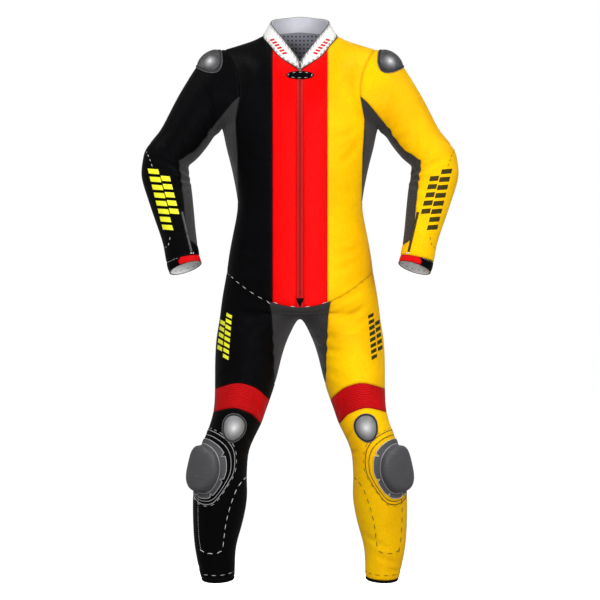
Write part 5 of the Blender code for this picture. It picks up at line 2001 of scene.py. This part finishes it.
def near_waist(p, reach=9):
    share = 1 - np.clip(np.abs(p[:, 0]) / WAIST_HALF, 0, 1) ** 2
    level = WAIST_SIDE + share * np.where(p[:, 1] < 0, -WAIST_DIP, WAIST_RISE)
    return np.abs(p[:, 2] - level) < reach


# %% Matching rows along the seams
TOPSTITCH = 3.1
FINE = 4.6, 3.4, 0.9  # pitch, length, width
PLAIN = ("sleeve", "front_", "back_", "thigh_front", "leg_back", "shin_front", "knee_band")
fine_rows = {}
for name, panel in panels.items():
    if name.startswith(PLAIN):
        rows = kept(rows_at(panel, TOPSTITCH), lambda p: ~near_waist(p))
        fine_rows.setdefault(finish_of(name), []).extend(rows)
for finish, rows in fine_rows.items():
    thread_name = finish.replace("ribbed", "red").replace("leather", "thread")
    stitched("seam_rows_" + slot_of(finish), rows, FINE, thread_name, finish, 4, 3)


# %% Rows that are meant to be seen
def on_front(side, corners, step=3.0, height=0.45):
    """A path through points of the front view, laid on the leather."""
    seen = (seen_at(surface, side * x, z) for x, z in walked(corners, step))
    return np.array([spot + normal * height for spot, normal in seen if spot is not None])


def rounded(corners):
    """Cuts the corners off a path, and then the corners that are left."""
    for _ in range(2):
        cut_corners = [corners[0]]
        for (x, z), (end_x, end_z) in zip(corners, corners[1:]):
            cut_corners += [(blend(x, end_x, share), blend(z, end_z, share)) for share in (0.25, 0.75)]
        corners = cut_corners + [corners[-1]]
    return corners


# the pitch of each kind of row, and the length and width of its stitches
FOREARM, WAIST, HEM = (13.5, 8.0, 1.8), (26.0, 14.0, 1.5), (23.0, 13.0, 1.5)
SHIN, PIPED, LINE = (23.0, 15.5, 2.2), (23.0, 12.0, 1.4), (6.0, 5.2, 0.9)
COLLAR, FLAP = (14.0, 9.0, 1.1), (16.5, 8.5, 1.2)
FOREARM_DASHES = (
    ((409, -291), (397, -316), (391, -334)),
    ((343, -527), (345, -538), (348, -547), (359, -552)),
)
SHIN_DASHES = ((146, -1160), (162, -1178), (173, -1200), (187, -1241), (197, -1283), (202, -1326),
               (205, -1349), (217, -1359), (247, -1360), (260, -1352))
SHIN_LINE = ((262, -1350), (267, -1322), (269, -1283), (270, -1243), (268, -1216))
HEM_DASHES = ((249, -1416.5), (225, -1418.5), (200, -1416.5), (183, -1411.5), (172, -1407))
CUFF_LINE = ((349.5, -590), (341, -586), (332, -582), (322, -578.5))
SLIDER_ROW = 12.4, 0.08  # how far out from the patch, and how much taller above
SLIDER_ROW_STEPS = 160
FLAP_ROW, FLAP_ROW_HIGH = (31, 7.4, FLAP_POWER, 64), 2.7  # half width, half height, squareness, steps
COLLAR_ROWS, WAIST_ROWS_IN, COLLAR_EDGE = (3.4, 5.6), 1.4, 0.8
LINING_ROW, LINING_SHARE = 15.75, 0.913  # the sleeve ring, and its size inside the lining


def waist_rows(*names):
    return [row for name in names
            for row in kept(rows_at(panels[name], WAIST_ROWS_IN, 0.35), lambda p: near_waist(p, 4.5))]


for side, letter in SIDES:
    light, waist = ("light thread", "light thread") if side < 0 else ("olive thread", "yellow thread")
    ring = sleeve_ring(LINING_ROW, side)
    slider = path_on(Wrap(**SLIDER, side=side), egg(PATCH_SIZE, *SLIDER_ROW, SLIDER_ROW_STEPS), 0.4)
    seen = {
        "waist_middle": (waist_rows(f"front_centre_{letter}"), WAIST, "light thread"),
        "waist_row": (waist_rows(f"thigh_front_{letter}", f"back_side_{letter}"), WAIST, waist),
        "hem_row": ([on_front(side, rounded(HEM_DASHES))], HEM, light),
        "forearm_row": ([on_front(side, rounded(path)) for path in FOREARM_DASHES], FOREARM, light),
        "shin_row": ([on_front(side, rounded(SHIN_DASHES))], SHIN, light),
        "shin_line": ([on_front(side, rounded(SHIN_LINE))], LINE if side < 0 else SHIN, light),
        "cuff_line": ([on_front(side, CUFF_LINE)], LINE, "light thread"),
        "cuff_lining_row": ([blend(ring.mean(0), ring, LINING_SHARE)], FLAP, "dark thread"),
        "slider_row": ([slider], PIPED, light),
    }
    for name, (rows, size, finish) in seen.items():
        stitched(f"{name}_{letter}", rows, size, finish)
collar_rows = [row for level in COLLAR_ROWS for row in rows_at(panels["collar"], level, 0.3)]
stitched("collar_rows", collar_rows, COLLAR, "dark thread")
collar_edge = rows_at(panels["collar"], COLLAR_EDGE, 0.4)
piped("collar_piping", collar_edge, COLLAR_CORD, "dark piping", closed=False)
flap_path = path_on(in_front(FLAP_LEVEL), superellipse(*FLAP_ROW), FLAP_ROW_HIGH)
stitched("flap_row", [flap_path], FLAP, "light thread")

# %% [markdown]
# ## Zip teeth
# The teeth of a moulded zip hook into each other from the left and the right in turn. The same
# centre line carries both rows: every second point moves to the other side.

# %% The zip
def teeth_tree():
    tree, given = new_tree("zip teeth", {"Pitch": "Float", "Offset": "Float", "Tooth": "Vector"})
    shift = add_node(tree, "GeometryNodeInputIndex")[0]
    steps = (("MODULO", 2.0), ("MULTIPLY_ADD", 2.0, -1.0), ("MULTIPLY", given["Offset"]))
    for operation, *others in steps:
        values = dict(enumerate((shift, *others)))
        shift = add_node(tree, "ShaderNodeMath", {"operation": operation}, values)[0]
    across = add_node(tree, "ShaderNodeCombineXYZ", None, {"X": shift})
    moved = add_node(tree, "GeometryNodeSetPosition", None,
                     {"Geometry": points_along(tree, given)["Points"], "Offset": across["Vector"]})
    places = {"Points": moved["Geometry"], "Scale": given["Tooth"]}
    return close_tree(tree, given, beads_on(tree, places, 8, 5))


ZIP_TOP, ZIP_FOOT = -84, -684
PULL_LEVEL, PULL_SIZE = -79, (3.6, 4.6, 3, 32)  # half width, half height, squareness, steps
PULL_PROFILE = ((0, 3.4), (0.6, 3.2), (0.85, 2.6), (1.0, 1.4))
ZIP_PITCH, ZIP_OFFSET, ZIP_TOOTH = 2.4, 1.0, (4.4, 2.0, 2.2)
TOOTH, STOP = (2.6, 1.4, 2.0), (9.0, 3.8, 3.8)  # pitch, length, width
STOPS = ((282.0, 287.5), -565.5, -569)
centre_line = on_front(1, ((0, ZIP_TOP), (0, ZIP_FOOT)), height=0.6)
values = {"Pitch": ZIP_PITCH * MM, "Offset": ZIP_OFFSET * MM, "Tooth": [v * MM for v in ZIP_TOOTH],
          "Finish": finishes["dark teeth"]}
teeth = grown("zip_teeth", [centre_line], teeth_tree(), values)
hand_over(teeth, "dark teeth")
pull = laid("zip_slider_body", in_front(PULL_LEVEL), superellipse(*PULL_SIZE), PULL_PROFILE, "silver")
hand_over(pull, "silver")
for side, letter in SIDES:
    line = on_front(side, SLEEVE_ZIP, height=1.2)
    finish = "light piping" if side < 0 else "olive thread"
    stitched(f"sleeve_zip_teeth_{letter}", [line], TOOTH, finish, "gunmetal", 6, 4)
    columns, top, foot = STOPS
    beads = [on_front(side, ((x, top), (x, foot)), 1.0, 0.8) for x in columns]
    stitched(f"sleeve_zip_stops_{letter}", beads, STOP, "white thread", None, 10, 8)

# %% [markdown]
# ## Studio
# A plain white floor that runs to the horizon, soft lamps, and a surround that is white to the lens.
# The lens is long and far away, so that near parts look no larger than far ones. The lamps are wide
# for soft light, and only the three small ones are mirrored in the polished caps.

# %% Floor, lamps and camera
FLOOR, FLOOR_HALF = -1.502, 60  # metres, as are all measures in the studio
FLOOR_GLOW = 0.85
AIM = Vector((0, 0, -0.7))
SURROUND_SEEN, SURROUND_LIGHT = 1.0, 0.20
LAMPS = {
    # name: (place, size, power, whether polished surfaces mirror it)
    "key_lamp": ((-2.4, -3.4, 1.5), 1.8, 125, False),
    "fill_lamp": ((2.8, -3.2, 0.6), 2.2, 105, False),
    "low_lamp": ((0.6, -4.0, -1.2), 1.8, 46, False),
    "rear_lamp": ((1.2, 3.6, 1.4), 2.0, 120, False),
    "knee_lamp": ((0, -4.6, -0.9), 0.5, 12, True),
    "shoulder_lamp_R": ((-1.8, -0.5, 2.0), 0.6, 12, True),
    "shoulder_lamp_L": ((1.8, -0.5, 2.0), 0.6, 12, True),
}


def floor():
    paper = Graph("studio paper", (0.9, 0.9, 0.9), 0.9)
    paper.set("Emission Color", (1, 1, 1, 1))
    paper.set("Emission Strength", FLOOR_GLOW)
    mesh = bpy.data.meshes.new("studio_floor")
    corners = [(x * FLOOR_HALF, y * FLOOR_HALF, FLOOR) for x, y in ((-1, -1), (1, -1), (1, 1), (-1, 1))]
    mesh.from_pydata(corners, [], [(0, 1, 2, 3)])
    mesh.materials.append(paper.material)
    piece = linked("studio_floor", mesh)
    piece.visible_diffuse = piece.visible_glossy = False


def lamp(name, place, size, power, in_gloss):
    data = bpy.data.lights.new(name, "AREA")
    data.shape, data.size, data.energy = "DISK", size, power
    each = linked(name, data)
    each.location = place
    each.rotation_euler = (AIM - Vector(place)).to_track_quat("-Z", "Y").to_euler()
    each.visible_glossy, each.visible_camera = in_gloss, False


def surround():
    """White where the lens sees it, and dim where only the suit does, so that black stays black."""
    world = bpy.data.worlds.new("surround")
    world.use_nodes = True
    tree = world.node_tree
    seen = add_node(tree, "ShaderNodeLightPath")["Is Camera Ray"]
    limits = {"Value": seen, "To Min": SURROUND_LIGHT, "To Max": SURROUND_SEEN}
    background = tree.nodes["Background"].inputs
    feed(tree, background["Strength"], add_node(tree, "ShaderNodeMapRange", None, limits)["Result"])
    feed(tree, background["Color"], (1, 1, 1, 1))
    return world


floor()
for name, settings in LAMPS.items():
    lamp(name, *settings)
scene = bpy.context.scene
scene.view_settings.view_transform = "Standard"
scene.world = surround()
lens = bpy.data.cameras.new("camera")
lens.lens, lens.sensor_width = 600.0, 36.0
lens.clip_end = 200
camera = linked("camera", lens)
camera.location = (0, -26.5, -0.689)
camera.rotation_euler = (math.pi / 2, 0, 0)
scene.camera = camera
print("camera", tuple(camera.location))
